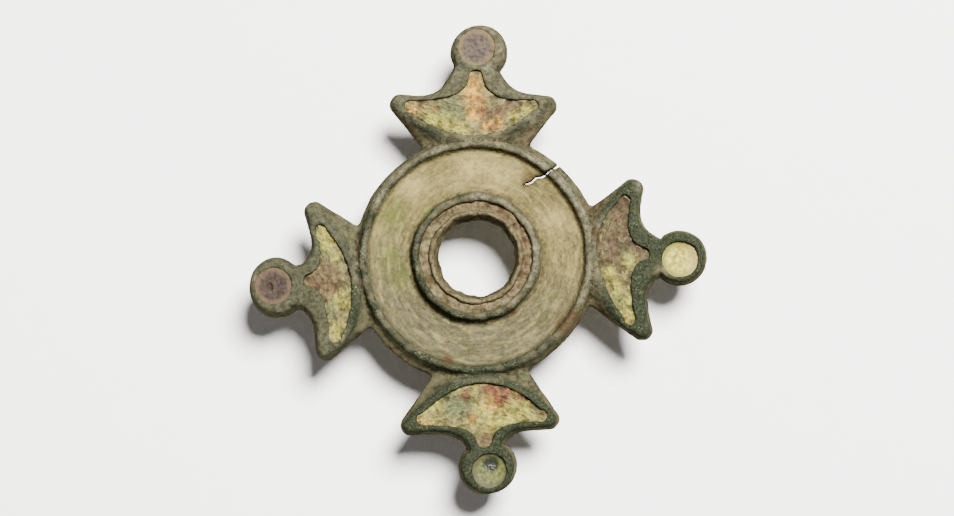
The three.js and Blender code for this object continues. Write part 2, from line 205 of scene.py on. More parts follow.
def crescent_sides(arm):
    """The two long sides of a crescent cell, both from its clockwise tip to the other:
    the belly towards the disc, and the hollow side that runs out to the neck and back."""
    tip_a, tip_b = (np.array(tip) for tip in arm["tips"])
    inner_a, inner_b = tip_a - (TIP_RADIUS, 0), tip_b - (TIP_RADIUS, 0)
    pull = 2 * np.array(arm["belly"]) - (inner_a + inner_b) / 2
    pulls = [inner + (pull - inner) * 2 / 3 for inner in (inner_a, inner_b)]
    belly = cubic(inner_a, *pulls, inner_b, 40)
    neck, half = np.array(arm["cell_neck"]), arm["neck_half"]
    hollow = np.vstack([
        flank(tip_a, arm["cell_waists"][0], neck - (0, half), TIP_RADIUS)[:-1],
        arc(neck, half, -math.pi / 2, math.pi / 2),
        flank(tip_b, arm["cell_waists"][1], neck + (0, half), TIP_RADIUS)[::-1][1:],
    ])
    cap_half = 7
    cap_a = arc(tip_a, TIP_RADIUS, -math.pi, 0, 2 * cap_half)
    cap_b = arc(tip_b, TIP_RADIUS, 0, math.pi, 2 * cap_half)
    belly = np.vstack([cap_a[:cap_half][::-1], belly[1:-1], cap_b[cap_half:][::-1]])
    hollow = np.vstack([cap_a[cap_half - 1:-1], hollow, cap_b[1:cap_half + 1]])
    return belly, hollow


def crescent_outline(arm):
    """The crescent's hollow side outwards and its belly back again."""
    belly, hollow = crescent_sides(arm)
    return np.vstack([hollow, belly[::-1][1:-1]])


def on_bearing(points, bearing):
    """Turns points drawn along +X about the disc's middle onto a bearing in degrees."""
    angle = math.radians(bearing)
    turn = np.array([[math.cos(angle), math.sin(angle)], [-math.sin(angle), math.cos(angle)]])
    return np.asarray(points) @ turn


def outline_distance(points, outline):
    """How far each point is from a closed outline, negative inside. A point is inside when
    a line from it crosses the outline an odd number of times."""
    nearest = np.full(len(points), np.inf)
    inside = np.zeros(len(points), bool)
    x, y = points[:, 0], points[:, 1]
    for (ax, ay), (bx, by) in zip(outline, np.roll(outline, -1, axis=0)):
        ex, ey = bx - ax, by - ay
        length = ex * ex + ey * ey
        if length < 1e-12:
            continue
        t = np.clip(((x - ax) * ex + (y - ay) * ey) / length, 0, 1)
        nearest = np.minimum(nearest, (x - ax - t * ex) ** 2 + (y - ay - t * ey) ** 2)
        if ey:
            crosses = ((ay > y) != (by > y)) & (x < ax + (y - ay) * ex / ey)
            inside ^= crosses
    return np.where(inside, -1, 1) * np.sqrt(nearest)


print("an arm's outline has", len(plate_outline(ARMS["top"])), "points")

# %% [markdown]
# ## The casting as a field
#
# The outline doubles back at every neck, the hook curls under itself and the disc has a
# hole, so no single grid can be stretched over the casting. It is made the way a founder's
# wax was: built up, cut back and smoothed. Every part is a distance field on one block of
# grid points, parts are joined by the smaller distance with a soft fillet, and cells are
# cut by the larger. Profiles are carried along outlines: a profile drawn in distance and
# height becomes a wall all round a cell, or a ring when the distance is the radius.

# %% Join, cut and carry profiles
STEP = 0.167


def join(a, b, fillet):
    """The union of two fields with a fillet: the smaller one, lowered where they meet."""
    meet = np.clip(fillet - np.abs(a - b), 0, None) / fillet
    return np.minimum(a, b) - meet ** 2 * fillet / 4


def cut(a, b, fillet=0.06):
    """What is left of a once b is taken out of it, with a fillet."""
    return -join(-a, b, fillet)


def keep(a, b, fillet):
    """What a and b share, with the edge where they meet rounded."""
    return -join(-a, -b, fillet)


def carried(across, height, profile):
    """The distance to a closed profile of (distance, height). It is measured on a fine
    table and read from there, each value mixed from the four nearest entries."""
    profile = np.array(profile)
    fine, margin = 0.04, 1.6
    start = profile.min(axis=0) - margin
    count = np.ceil((profile.max(axis=0) + margin - start) / fine).astype(int) + 1
    table_points = start + fine * np.indices(count).reshape(2, -1).T
    table = outline_distance(table_points, profile).reshape(count).astype(np.float32)
    a = np.clip((across - start[0]) / fine, 0, count[0] - 1.001).astype(np.float32)
    h = np.clip((height - start[1]) / fine, 0, count[1] - 1.001).astype(np.float32)
    i, j = np.broadcast_arrays(a.astype(int), h.astype(int))
    a, h = a - a.astype(int), h - h.astype(int)
    near = table[i, j] * (1 - h) + table[i, j + 1] * h
    far = table[i + 1, j] * (1 - h) + table[i + 1, j + 1] * h
    return near * (1 - a) + far * a



# Profiles as (distance, height). The disc's distance is the radius, the others' is how far
# a point lies outside the edge of the plate or of a cell.
DISC_PROFILE = [
    (3.32, 0.0), (10.3, 0.0), (10.52, 0.1), (10.6, 0.3), (10.58, 0.8), (10.48, 1.3), (10.3, 1.85),
    (10.14, 2.18), (9.94, 2.3), (9.76, 2.24), (9.62, 2.0), (9.5, 1.6), (9.36, 1.32), (9.1, 1.2),
    (7.5, 1.14), (6.0, 1.15), (5.82, 1.22), (5.7, 1.5), (5.6, 2.0), (5.45, 2.35), (5.22, 2.5),
    (5.0, 2.42), (4.9, 2.1), (4.86, 1.5), (4.2, 1.5), (4.14, 1.95), (4.06, 2.25), (3.93, 2.35),
    (3.8, 2.28), (3.66, 2.0), (3.5, 1.2), (3.38, 0.5), (3.3, 0.15),
]
PLATE_PROFILE = [
    (-9.0, 0.0), (-0.3, 0.0), (-0.1, 0.07), (0.0, 0.28), (-0.03, 0.62), (-0.14, 0.88), (-0.4, 1.02),
    (-1.2, 1.2), (-9.0, 1.2),
]
BLOCK_PROFILE = [
    (-9.0, 0.4), (-0.02, 0.4), (-0.04, 0.85), (-0.14, 1.4), (-0.27, 1.9), (-0.4, 2.16), (-0.56, 2.28),
    (-0.75, 2.3), (-9.0, 2.3),
]
WALL_PROFILE = [
    (-0.05, 0.6), (-0.05, 2.08), (0.03, 2.22), (0.14, 2.27), (0.26, 2.24), (0.37, 2.1), (0.43, 1.75),
    (0.46, 1.3), (0.48, 0.6),
]
BELLY_WALL, BELLY_SLOPE = 0.42, 1.25

# The catch lies on the line from hinge to catch, BACK_BEARING degrees off the Y axis: its
# fold as (across, height over the ground), where it starts and ends, its half thickness at
# the root and the lip, and the middle and half sizes of the groove worn into its leaf.
CATCH_FOLD = [(1.85, 6.2), (1.75, 4.0), (1.45, 1.9), (0.2, 0.4), (-1.6, 0.78), (-2.9, 1.75), (-3.6, 2.9)]
CATCH_REACH = (10.0, 19.7)
CATCH_HALF = (0.43, 0.27)
BACK_BEARING = 4.5
GROOVE_MIDDLE, GROOVE_HALF = (1.4, 13.3, 1.15), (0.36, 1.4, 0.5)

# The hinge: the axle's place, the room round it in the lugs, and the lugs' two sides.
HINGE_Y, AXLE_Z, AXLE_RADIUS = -9.6, 2.7, 0.65
AXLE_ROOM = 0.12
LUGS = [(-2.6, -1.7), (0.95, 2.4)]

# A pit in the back of the top knob, and the crack through the disc's rim.
PIT_PLACE, PIT_RADIUS = (1.0, 19.0), 0.42
CRACK_HALF = 0.09
CRACK = [(7.6, 8.35), (6.4, 7.5), (5.8, 7.05), (5.3, 7.05), (4.85, 6.6), (4.2, 6.4)]
print("grid step", STEP, "mm;", len(DISC_PROFILE), "points in the disc's profile")

# %% Lay out the grid
low = np.floor((body_low[:2] - MIDDLE - 0.5) / STEP) * STEP
high = body_high[:2] - MIDDLE + 0.5
xs = np.arange(low[0], high[0], STEP)
ys = np.arange(low[1], high[1], STEP)
zs = np.arange(-BACK - 2.5 * STEP, COLLAR_TOP + 3 * STEP, STEP)
plan = np.stack(np.meshgrid(xs, ys, indexing="ij"), axis=-1).reshape(-1, 2)
flat = np.column_stack([plan, np.zeros(len(plan))])
wander = np.column_stack([
    0.10 * noise(flat, 4.2, 1) + 0.035 * noise(flat, 1.3, 2),
    0.10 * noise(flat, 4.2, 3) + 0.035 * noise(flat, 1.3, 4),
])
plan = plan + wander
grid_shape = (len(xs), len(ys), 1)
print("grid of", len(xs), "x", len(ys), "x", len(zs), "points")

# %% Measure the plan's distances


def from_bearing(points, bearing):
    """The points as an arm sees them: u outwards along its bearing and w across."""
    return on_bearing(points, -bearing)


def past_belly(points, arm):
    """How far each point lies inwards past the wall on the belly's side of the cell. The
    belly is a parabola u(w) through both tips; a point's distance from it is about the
    difference in u divided by the length of (1, slope)."""
    (u_a, w_a), (u_b, w_b) = (np.subtract(tip, (TIP_RADIUS, 0)) for tip in arm["tips"])
    u_m, w_m = arm["belly"]
    bend = ((u_a - u_m) / (w_a - w_m) - (u_b - u_m) / (w_b - w_m)) / (w_a - w_b)
    lean = (u_a - u_m) / (w_a - w_m) - bend * (w_a - w_m)
    u, w = points.T
    wall_line = u_m - BELLY_WALL + lean * (w - w_m) + bend * (w - w_m) ** 2
    return (wall_line - u) / np.hypot(1, lean + 2 * bend * (w - w_m))


radius = np.hypot(*plan.T)
middles = [on_bearing([(shift, 0.0)], bearing)[0] for bearing, shift in SPREADS]
spread = np.minimum.reduce([np.hypot(*(plan - middle).T) for middle in middles]) - DISC_RADIUS
plate = np.maximum(spread, 8.0 - radius)
cells = np.full(len(plan), np.inf)
blocks = []
for arm in ARMS.values():
    seen = from_bearing(plan, arm["bearing"])
    edge = outline_distance(seen, plate_outline(arm))
    plate = join(plate, edge, 0.5)
    eye = np.hypot(*(seen - arm["eye"]).T) - arm["eye_radius"]
    cells = np.minimum(cells, np.minimum(outline_distance(seen, crescent_outline(arm)), eye))
    blocks.append((edge.reshape(grid_shape), past_belly(seen, arm).reshape(grid_shape)))
radius, plate, cells = (field.reshape(grid_shape) for field in (radius, plate, cells))
print("plan's distances measured at", len(plan), "points")

# %% Build the plate, disc and raised arms
sag = (0.05 * noise(flat, 3.0, 5) + 0.03 * noise(flat, 1.1, 6)).reshape(grid_shape)
uneven = (0.11 * noise(flat, 1.3, 8) + 0.07 * noise(flat, 0.6, 9)).reshape(grid_shape)
uneven = uneven * np.clip((6.6 - radius) / 0.8, 0, 1)
# The same lumps, read from the other end of the grid, wear the collar's heights elsewhere.
sag = sag + 0.7 * uneven[::-1, ::-1]
upper = zs > -0.8
height = zs[None, None, upper] + sag
front = join(carried(radius + uneven, height, DISC_PROFILE), carried(plate, height, PLATE_PROFILE), 0.3)
for edge, past in blocks:
    slope = (height - WALL_TOP + BELLY_SLOPE * past) / math.hypot(1, BELLY_SLOPE)
    block = keep(carried(edge, height, BLOCK_PROFILE), slope, 0.25)
    front = join(front, block, 0.15)
walls = carried(cells, height + 0.04 * np.sin(7 * cells), WALL_PROFILE)
front = join(front, np.maximum(walls, 9.75 - radius), 0.15)
front = cut(front, np.maximum(cells, CELL_FLOOR - height))
body = np.empty((len(xs), len(ys), len(zs)), np.float32)
body[:, :, upper] = front
below = zs[~upper][None, None, :]
body[:, :, ~upper] = np.hypot(np.maximum(plate, 0), -below)
print("front relief built:", front.shape)

# %% [markdown]
# ## The catch and the hinge
#
# A pin sprang from the hinge and was held by the catch. The catch was cast as a flat leaf
# and folded over into a hook, so here a ribbon's section is drawn once, carried along the
# leaf and trimmed by the leaf's rounded outline. The hinge is a low block with two lugs,
# bored for the axle. Wear left a shallow groove in the catch, a pit in a knob's back and a
# crack through the rim; each is a small field cut out of the large one.

# %% Build the catchplate on the back
back_plan = on_bearing(plan, -BACK_BEARING)
bx, by = (back_plan[:, i].reshape(grid_shape) for i in (0, 1))
full = zs[None, None, :] + BACK


def fold_ribbon():
    """The catch's section. Between two of the fold's points the spine is a cubic curve
    whose slope at each is half the step from the point before to the point after; the
    outline runs half a thickness to each side of it, thinner towards the lip."""
    points = np.array(CATCH_FOLD)
    t = np.linspace(0, len(points) - 1, 40)
    padded = np.vstack([2 * points[0] - points[1], points, 2 * points[-1] - points[-2]])
    i = np.minimum(t.astype(int), len(points) - 2)
    s = (t - i)[:, None]
    p0, p1, p2, p3 = (padded[i + n] for n in range(4))
    spine = 0.5 * (2 * p1 + (p2 - p0) * s + (2 * p0 - 5 * p1 + 4 * p2 - p3) * s ** 2
                   + (3 * p1 - p0 - 3 * p2 + p3) * s ** 3)
    along = np.gradient(spine, axis=0)
    side = np.column_stack([-along[:, 1], along[:, 0]])
    side /= np.linalg.norm(along, axis=1, keepdims=True)
    half = np.linspace(*CATCH_HALF, len(spine))[:, None]
    return np.vstack([spine + side * half, (spine - side * half)[::-1]])


def within(mask):
    """The slice of the grid that a mask of its plan needs."""
    rows, columns = np.where(mask.any(axis=1))[0], np.where(mask.any(axis=0))[0]
    return slice(rows[0], rows[-1] + 1), slice(columns[0], columns[-1] + 1)


near, far = CATCH_REACH
region = within((abs(bx[..., 0]) < 5) & (by[..., 0] > near - 1) & (by[..., 0] < far + 1))
section = carried(bx[region], full, fold_ribbon())
leaf = np.vstack([
    [(4, near), (4, far - 1.2), (3.0, far - 0.4), (1.6, far), (0.4, far - 0.1), (-0.3, far - 0.6)],
    cubic((-0.5, far - 1.8), (-1.3, far - 3.4), (-5.0, near + 4.8), (-1.8, near + 0.1)),
])
across_leaf, along_leaf = bx[region], by[region]
leaf_points = np.stack([across_leaf.ravel(), along_leaf.ravel()], axis=1)
leaf_edge = outline_distance(leaf_points, leaf).reshape(across_leaf.shape)
catch = keep(section, leaf_edge, 0.25)
groove = np.sqrt(sum(
    ((value - middle) / half) ** 2
    for value, middle, half in zip((across_leaf, along_leaf, full), GROOVE_MIDDLE, GROOVE_HALF)))
catch = cut(catch, 0.4 * (groove - 1), 0.15)
body[region] = join(body[region], catch, 0.5)
print("catch built:", catch.shape)

# %% Build the hinge on the back

region = within((abs(bx[..., 0]) < 4) & (abs(by[..., 0] - HINGE_Y) < 4))
hx, hy = bx[region], by[region] - HINGE_Y
hinge = keep(keep(abs(hx + 0.1) - 2.7, abs(hy) - 2.3, 1.6), abs(full - 5.6) - 0.5, 0.5)
for left, right in LUGS:
    tab = [(-2.35, 6.2), *arc((0, 2.6), (2.1, 2.62), math.pi, 2 * math.pi, 24), (2.35, 6.2)]
    profile = carried(hy, full, tab)
    lug = keep(profile, abs(hx - (left + right) / 2) - (right - left) / 2, 0.35)
    hinge = join(hinge, lug, 0.4)
bore = np.hypot(hy, full - AXLE_Z) - (AXLE_RADIUS + AXLE_ROOM)
hinge = np.where(full < 4.4, cut(hinge, bore), hinge)
body[region] = join(body[region], hinge, 0.8)
print("hinge built:", hinge.shape)

# %% Cut the pit and the crack, and level the foot


def distance_to_path(points, path):
    """Distance in plan from each point to the nearest of the path's straight runs."""
    nearest = np.full(len(points), np.inf)
    for (ax, ay), (cx, cy) in zip(path[:-1], path[1:]):
        ex, ey = cx - ax, cy - ay
        px, py = points[:, 0] - ax, points[:, 1] - ay
        t = np.clip((px * ex + py * ey) / (ex * ex + ey * ey), 0, 1)
        nearest = np.minimum(nearest, np.hypot(px - t * ex, py - t * ey))
    return nearest


pit = np.sqrt(((plan - PIT_PLACE) ** 2).sum(axis=1)).reshape(grid_shape)
body = cut(body, np.hypot(pit, full - BACK + 0.1) - PIT_RADIUS, 0.2)
crack = distance_to_path(plan - wander, CRACK).reshape(grid_shape) - CRACK_HALF
body[:, :, upper] = cut(body[:, :, upper], crack)
body = np.maximum(body, -full)
print("inside points:", int((body < 0).sum()))

# %% [markdown]
# ## Wrapping the field in a skin
#
# Surface nets turn the field into a mesh. Each grid cell that the surface crosses gets one
# point, the mean of where its edges are crossed, and each crossed edge gets one four-sided
# face that joins the points of the four cells round it. It is all whole-array work.

# %% Wrap a field


def wrap(field, origin, step):
    """One point in each crossed cell and one face round each crossed edge, facing out."""
    inside = field < 0
    corners = [(i, j, k) for i in (0, 1) for j in (0, 1) for k in (0, 1)]
    shape = np.array(field.shape) - 1
    count = np.zeros(shape, np.uint8)
    for corner in corners:
        count += inside[tuple(slice(c, c + n) for c, n in zip(corner, shape))]
    cell = np.argwhere((count > 0) & (count < 8))
    index = np.full(shape, -1)
    index[tuple(cell.T)] = np.arange(len(cell))
    total, hits = np.zeros((len(cell), 3)), np.zeros(len(cell))
    for axis in range(3):
        ahead = np.eye(3, dtype=int)[axis]
        for corner in (c for c in corners if c[axis] == 0):
            a = field[tuple((cell + corner).T)]
            b = field[tuple((cell + corner + ahead).T)]
            crossed = (a < 0) != (b < 0)
            t = np.where(crossed, a / np.where(crossed, a - b, 1), 0)
            total += np.where(crossed[:, None], np.array(corner) + t[:, None] * ahead, 0)
            hits += crossed
    points = origin + step * (cell + total / hits[:, None])
    faces = []
    for axis in range(3):
        side_a, side_b = np.eye(3, dtype=int)[(axis + 1) % 3], np.eye(3, dtype=int)[(axis + 2) % 3]
        changed = np.diff(inside, axis=axis)
        edge = np.argwhere(changed)
        edge = edge[(edge[:, (axis + 1) % 3] > 0) & (edge[:, (axis + 2) % 3] > 0)]
        offsets = (side_a + side_b, side_b, 0 * side_a, side_a)
        quad = np.column_stack([index[tuple((edge - offset).T)] for offset in offsets])
        starts_inside = inside[tuple(edge.T)]
        faces.append(np.where(starts_inside[:, None], quad, quad[:, ::-1]))
    return points, np.vstack(faces)


origin = np.array([xs[0], ys[0], zs[0]])
skin, skin_faces = wrap(body, origin, STEP)
print("casting's skin:", len(skin), "points,", 2 * len(skin_faces), "triangles")

# %% [markdown]
# ## From arrays to Blender
#
# A mesh is three flat lists: the points, the corners of all faces in a row, and where each
# face starts in that row. Normals of the raw skin come from its faces' cross products.

# %% Put points and faces into a mesh


def point_normals(points, faces):
    """Each point's normal: the sum of its faces' cross products, at length one."""
    a, b, c, d = (points[faces[:, i]] for i in range(4))
    cross = np.cross(c - a, d - b)
    normals = np.zeros_like(points)
    for i in range(4):
        for axis in range(3):
            normals[:, axis] += np.bincount(faces[:, i], cross[:, axis], len(points))
    return normals / np.maximum(np.linalg.norm(normals, axis=1, keepdims=True), 1e-9)


def neighbour_mean(points, faces):
    """The mean of each point's neighbours along the faces' edges."""
    total, hits = np.zeros_like(points), np.zeros(len(points))
    for here, there in ((0, 1), (1, 2), (2, 3), (3, 0), (1, 0), (2, 1), (3, 2), (0, 3)):
        hits += np.bincount(faces[:, here], minlength=len(points))
        for axis in range(3):
            total[:, axis] += np.bincount(faces[:, here], points[faces[:, there], axis], len(points))
    return total / hits[:, None]


def make_piece(name, points, faces, attributes=()):
    """A named object of points in mm about the disc's middle and the plate's back. The
    attributes are values at the points that the materials read as masks."""
    mesh = bpy.data.meshes.new(name)
    placed = (np.asarray(points) + (*MIDDLE, BACK)) * MM
    mesh.vertices.add(len(placed))
    mesh.vertices.foreach_set("co", placed.ravel().astype(np.float32))
    mesh.loops.add(faces.size)
    mesh.loops.foreach_set("vertex_index", faces.ravel().astype(np.int32))
    mesh.polygons.add(len(faces))
    mesh.polygons.foreach_set("loop_start", np.arange(0, faces.size, faces.shape[1], dtype=np.int32))
    mesh.update(calc_edges=True)
    mesh.shade_smooth()
    for label, values in dict(attributes).items():
        mesh.attributes.new(label, "FLOAT", "POINT").data.foreach_set("value", values.astype(np.float32))
    piece = bpy.data.objects.new(name, mesh)
    bpy.context.scene.collection.objects.link(piece)
    print(f"{name}: {len(placed)} points, {len(faces)} faces")
    return piece


def ramp(value, start, end):
    """A smooth rise from 0 to 1 between two values."""
    t = np.clip((value - start) / (end - start), 0, 1)
    return t * t * (3 - 2 * t)


# %% [markdown]
# ## The casting's skin
#
# Cast bronze that has lain in the ground is grained and pitted all over, dented where the
# back was hammered, and worn smoothest in the disc's channel. Every point of the skin is
# pushed along its normal by the sum of such noises, each held to its place by a mask.
#
# The patina has its own places as well: dark green on the crests, paler where they rub,
# earth on the back, rust near the pin, darker in the hollows. Other places are painted light
# and shade: crests paler on the sides towards the lamp and darker away from it, pale glints
# on the crests, the field darker towards the bottom with a painted highlight on its lower
# left, and the hole's wall in painted shade. A material can't know where these are, so the
# script works them out as values from 0 to 1 at the points, and the mesh carries them along
# as attributes.

# %% Name the places of wear, rust and green, and of painted light and shade


def spots(x, y, places):
    """How strongly each point belongs to soft round places of (x, y, radius)."""
    return sum(np.exp(-((x - a) ** 2 + (y - b) ** 2) / r ** 2) for a, b, r in places).clip(0, 1)


# Soft round places of the front and the back, as (x, y, radius).
# Paler crests: partly rubbed, and partly painted light on the sides that face the lamp, such as the
# collar's top and right.
WORN_AND_LIT_CRESTS = [
    (10.1, 2.0, 1.3), (9.3, 4.4, 1.4), (7.5, 6.9, 1.3), (5.2, 8.7, 1.3), (10.2, -0.9, 1.0),
    (9.6, -3.3, 1.2), (8.4, -5.6, 1.0), (2.2, 9.9, 1.2), (-0.6, 10.1, 1.0), (-3.2, 9.6, 1.0),
    (-6.6, 7.5, 1.1), (-8.6, 5.2, 0.9), (0.2, 5.4, 1.0), (2.6, 4.9, 1.2), (4.6, 3.0, 1.3),
    (5.4, 0.4, 1.3), (5.0, -2.4, 1.2), (-2.6, 4.8, 0.8), (3.4, -4.2, 0.7), (2.5, 18.2, 0.8),
    (0.7, 16.3, 0.7), (-2.3, 16.0, 0.6), (1.5, 20.2, 0.7), (5.2, 12.0, 0.6), (15.4, 3.8, 0.9),
    (14.6, 6.2, 0.6), (11.7, 2.2, 0.5), (16.2, -1.4, 0.6), (-18.3, 2.7, 1.0), (-16.4, 2.4, 0.8),
    (-12.1, 4.3, 0.8), (-13.4, 6.3, 0.8), (-12.0, -6.6, 0.6), (-19.6, -2.0, 0.5), (-7.1, 12.4, 0.7),
    (3.4, -12.3, 0.6), (-2.8, -16.2, 0.5),
]
# Crests kept solid dark green, mostly on the lower left and bottom away from the lamp: partly dark patina
# and partly painted shade.
DARK_AND_SHADED_CRESTS = [
    (-4.6, -2.6, 1.6), (-3.2, -4.2, 1.4), (-5.4, 0.1, 1.1), (-1.0, -5.3, 1.1), (-4.4, 2.9, 0.8),
    (1.2, -5.3, 0.7), (-3.0, -9.7, 1.8), (0.4, -10.1, 1.6), (3.4, -9.6, 1.3), (-6.9, -7.4, 1.1),
    (-9.6, 3.4, 0.9), (-9.9, -3.2, 0.8), (10.2, 0.6, 0.8), (-6.0, 8.0, 0.7), (6.4, -7.8, 0.8),
    (-2.2, 10.1, 0.7),
]
FRONT_RUST = [
    (7.6, -6.0, 0.8), (8.5, -5.1, 0.6), (3.2, -4.8, 0.3), (4.6, 7.0, 0.5), (-2.5, -9.0, 0.5),
    (10.6, 1.9, 0.6),
]
FRONT_GREEN = [
    (-7.3, 3.9, 1.2), (-7.6, 0.0, 1.0), (-4.3, 4.0, 0.6), (-4.8, -9.0, 0.6), (-1.9, -5.0, 0.5),
    (-6.6, -1.9, 0.9),
]
# Pale places on the face: pale patina, and painted light where the top of the field is lighter and on the
# lower left, as a painted highlight.
FRONT_PALE_AND_LIT = [
    (-0.6, 7.8, 2.2), (-7.4, -5.5, 1.6), (-5.6, 6.2, 1.4), (2.6, 7.2, 1.4), (-8.4, 2.0, 0.7),
    (6.9, 3.2, 1.2),
]
FRONT_BROWN = [
    (-5.9, 10.4, 1.1), (10.8, -4.8, 1.4), (-10.9, 5.6, 1.0), (5.0, 10.4, 1.0), (10.7, 4.6, 1.2),
    (-7.2, -9.2, 1.3),
]
BACK_RUST = [
    (-0.6, -4.2, 1.3), (0.3, -5.4, 1.3), (1.9, 9.2, 0.9), (5.8, 7.1, 1.0), (-0.5, 8.4, 1.6),
    (-6.7, 4.8, 0.3), (4.5, -8.2, 1.4), (-2.8, -11.6, 1.3), (-0.2, -13.0, 0.9), (3.2, -5.9, 1.6),
    (6.0, -6.6, 0.9), (-3.0, -9.0, 1.2),
]
BACK_GREEN = [
    (-5.5, 5.2, 1.6), (-4.8, -0.8, 1.5), (-9.2, -1.9, 2.0), (4.0, -14.5, 1.0), (-12.0, 2.0, 1.5),
]
BACK_PITTED = [(5.5, 0.5, 3.6)]
GROOVE_DIRT = [(0.3, 12.3, 0.45), (0.25, 13.0, 0.45), (0.2, 13.7, 0.45), (0.15, 14.4, 0.45)]
print(len(WORN_AND_LIT_CRESTS), "worn and", len(DARK_AND_SHADED_CRESTS), "dark places on the crests")

# %% Roughen the casting's skin
normals = point_normals(skin, skin_faces)
skin_radius = np.hypot(skin[:, 0], skin[:, 1])
turn = np.arctan2(skin[:, 1], skin[:, 0])
on_back = ramp(-normals[:, 2], 0.2, 0.7) * ramp(-skin[:, 2], -0.6, -0.1)
crest = ramp(skin[:, 2], 1.5, 1.95)
in_field = ramp(skin_radius, 5.6, 5.9) * (1 - ramp(skin_radius, 9.3, 9.7)) * ramp(skin[:, 2], 0.6, 0.9)
rough_back = spots(skin[:, 0], skin[:, 1], BACK_PITTED)
hammered = 0.08 * noise(skin, 2.2, 21) + 0.12 * layered_noise(skin, 0.8, 3, 23)
grains = 0.025 * layered_noise(skin, 0.6, 3, 27)
beads = 0.045 * layered_noise(skin, 0.5, 2, 29)
pits = -0.09 * ramp(noise(skin, 0.75, 31), 0.4, 0.75)
dents = -0.08 * ramp(noise(skin, 1.1, 35), 0.25, 0.7)
shift = (1 - 0.5 * in_field) * grains + crest * beads + on_back * (hammered + dents * (0.5 + rough_back))
skin = skin + normals * (shift + (1 - on_back) * (1 - in_field) * 0.5 * pits)[:, None]
skin[:, 2] = np.maximum(skin[:, 2], -BACK)
hollow = ((neighbour_mean(skin, skin_faces) - skin) * normals).sum(axis=1) / STEP
print("skin pushed in and out by", round(float(shift.min()), 2), "to", round(float(shift.max()), 2), "mm")

# %% Mark where the casting's colours go
x, y, z = skin.T
inside = plate[((x - xs[0]) / STEP).round().astype(int), ((y - ys[0]) / STEP).round().astype(int), 0]
around_axis = np.column_stack([skin_radius / 0.3, turn * skin_radius / 1.6, 0 * z])
streaks = layered_noise(around_axis, 1.0, 3, 33)
# A painted highlight: a pale band along the rim's inner slope on the lower left, the slope that faces the
# lamp.
lit_slope_lower_left = np.exp(-((np.cos(turn) + 0.9) ** 2 + (np.sin(turn) + 0.44) ** 2) / 0.5)
faces_up = normals[:, 2] > -0.3
masks = dict(
    hollow=np.clip(hollow * 3 + 0.5, 0, 1) * (1 - 0.6 * on_back),
    crest=crest,
    # Where the crests stay dark green: away from the paler places, which are partly painted light, and less
    # so on the top and left arms.
    dark=((1 - spots(x, y, WORN_AND_LIT_CRESTS)) * (1 - 0.45 * ramp(y, 10.5, 12.5))
          * (1 - 0.3 * ramp(-x, 10.5, 12.5))),
    # The disc's crests, taken back where the dark and shaded places keep them solid dark green without
    # glints.
    disc=(1 - ramp(skin_radius, 10.7, 11.5)) * (1 - 0.75 * spots(x, y, DARK_AND_SHADED_CRESTS)),
    outline=ramp(inside + 0.4 * noise(skin, 1.2, 37), -1.3, -0.1) * ramp(skin_radius, 8.6, 9.6),
    field=in_field,
    # Painted shade: the field grows darker towards the bottom and right, as the light falls from the top,
    # with some patina tone in it.
    low=ramp(-y - 0.25 * x, -4.0, 6.5),
    # Paler places: pale patina and painted light on the face; on the back, the pitted place.
    pale_and_highlit=(np.where(faces_up, spots(x, y, FRONT_PALE_AND_LIT), rough_back)
           + lit_slope_lower_left * np.exp(-((skin_radius - 9.2) / 0.4) ** 2)),
    streak=np.clip(0.5 + 0.6 * streaks, 0, 1),
    channel=ramp(skin_radius, 3.95, 4.2) * (1 - ramp(skin_radius, 4.85, 5.05)) * ramp(z, 0.7, 1.0),
    inner=(1 - ramp(skin_radius, 3.9, 4.3)) * ramp(z, 0.9, 1.3),
    back=on_back,
    # Painted shade: the hole's wall below the collar is darkened all round.
    bore=(1 - ramp(skin_radius, 3.45, 3.75)) * (1 - ramp(z, 1.6, 2.0)),
    side=(ramp(1 - abs(normals[:, 2]), 0.35, 0.9) * (1 - crest)
          * ramp(-z, -1.3, -0.7) * ramp(z, -0.6, -0.2)),
    brown=np.where(faces_up, spots(x, y, FRONT_BROWN), 0),
    rust=np.where(faces_up, spots(x, y, FRONT_RUST), spots(x, y, BACK_RUST)),
    green=np.where(faces_up, spots(x, y, FRONT_GREEN), spots(x, y, BACK_GREEN)),
    split=np.exp(-(distance_to_path(skin, CRACK) / 0.26) ** 2),
    flap=ramp(-z, 3.2, 4.4) * ramp(y, 9.0, 10.5) * (1 - ramp(x, -0.9, 0.4)),
    lugs=ramp(-z, 0.7, 1.6) * (1 - ramp(y, -6.5, -5.5)),
    web=ramp(-z, 0.5, 1.5) * ramp(y, 8.5, 9.5),
    slot=spots(x, y, GROOVE_DIRT) * ramp(-z, 2.6, 3.2),
    scored=on_back * np.exp(-((x - 0.2) / 2.4) ** 4 - ((y + 14.4) / 1.0) ** 4),
)
casting = make_piece("casting", skin, skin_faces, masks)
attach(casting, "root")
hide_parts("brooch_body")

# %% [markdown]
# ## The enamel
#
# A crescent cell lies between two curves: its belly towards the disc and its hollow side.
# Across the arm both are single-valued, so a grid of lines across the cell covers it: each
# line runs from one curve to the other on top and back again along the cell's floor, and
# the lines close up at the two tips.

# %% Close a grid of rings into a tube


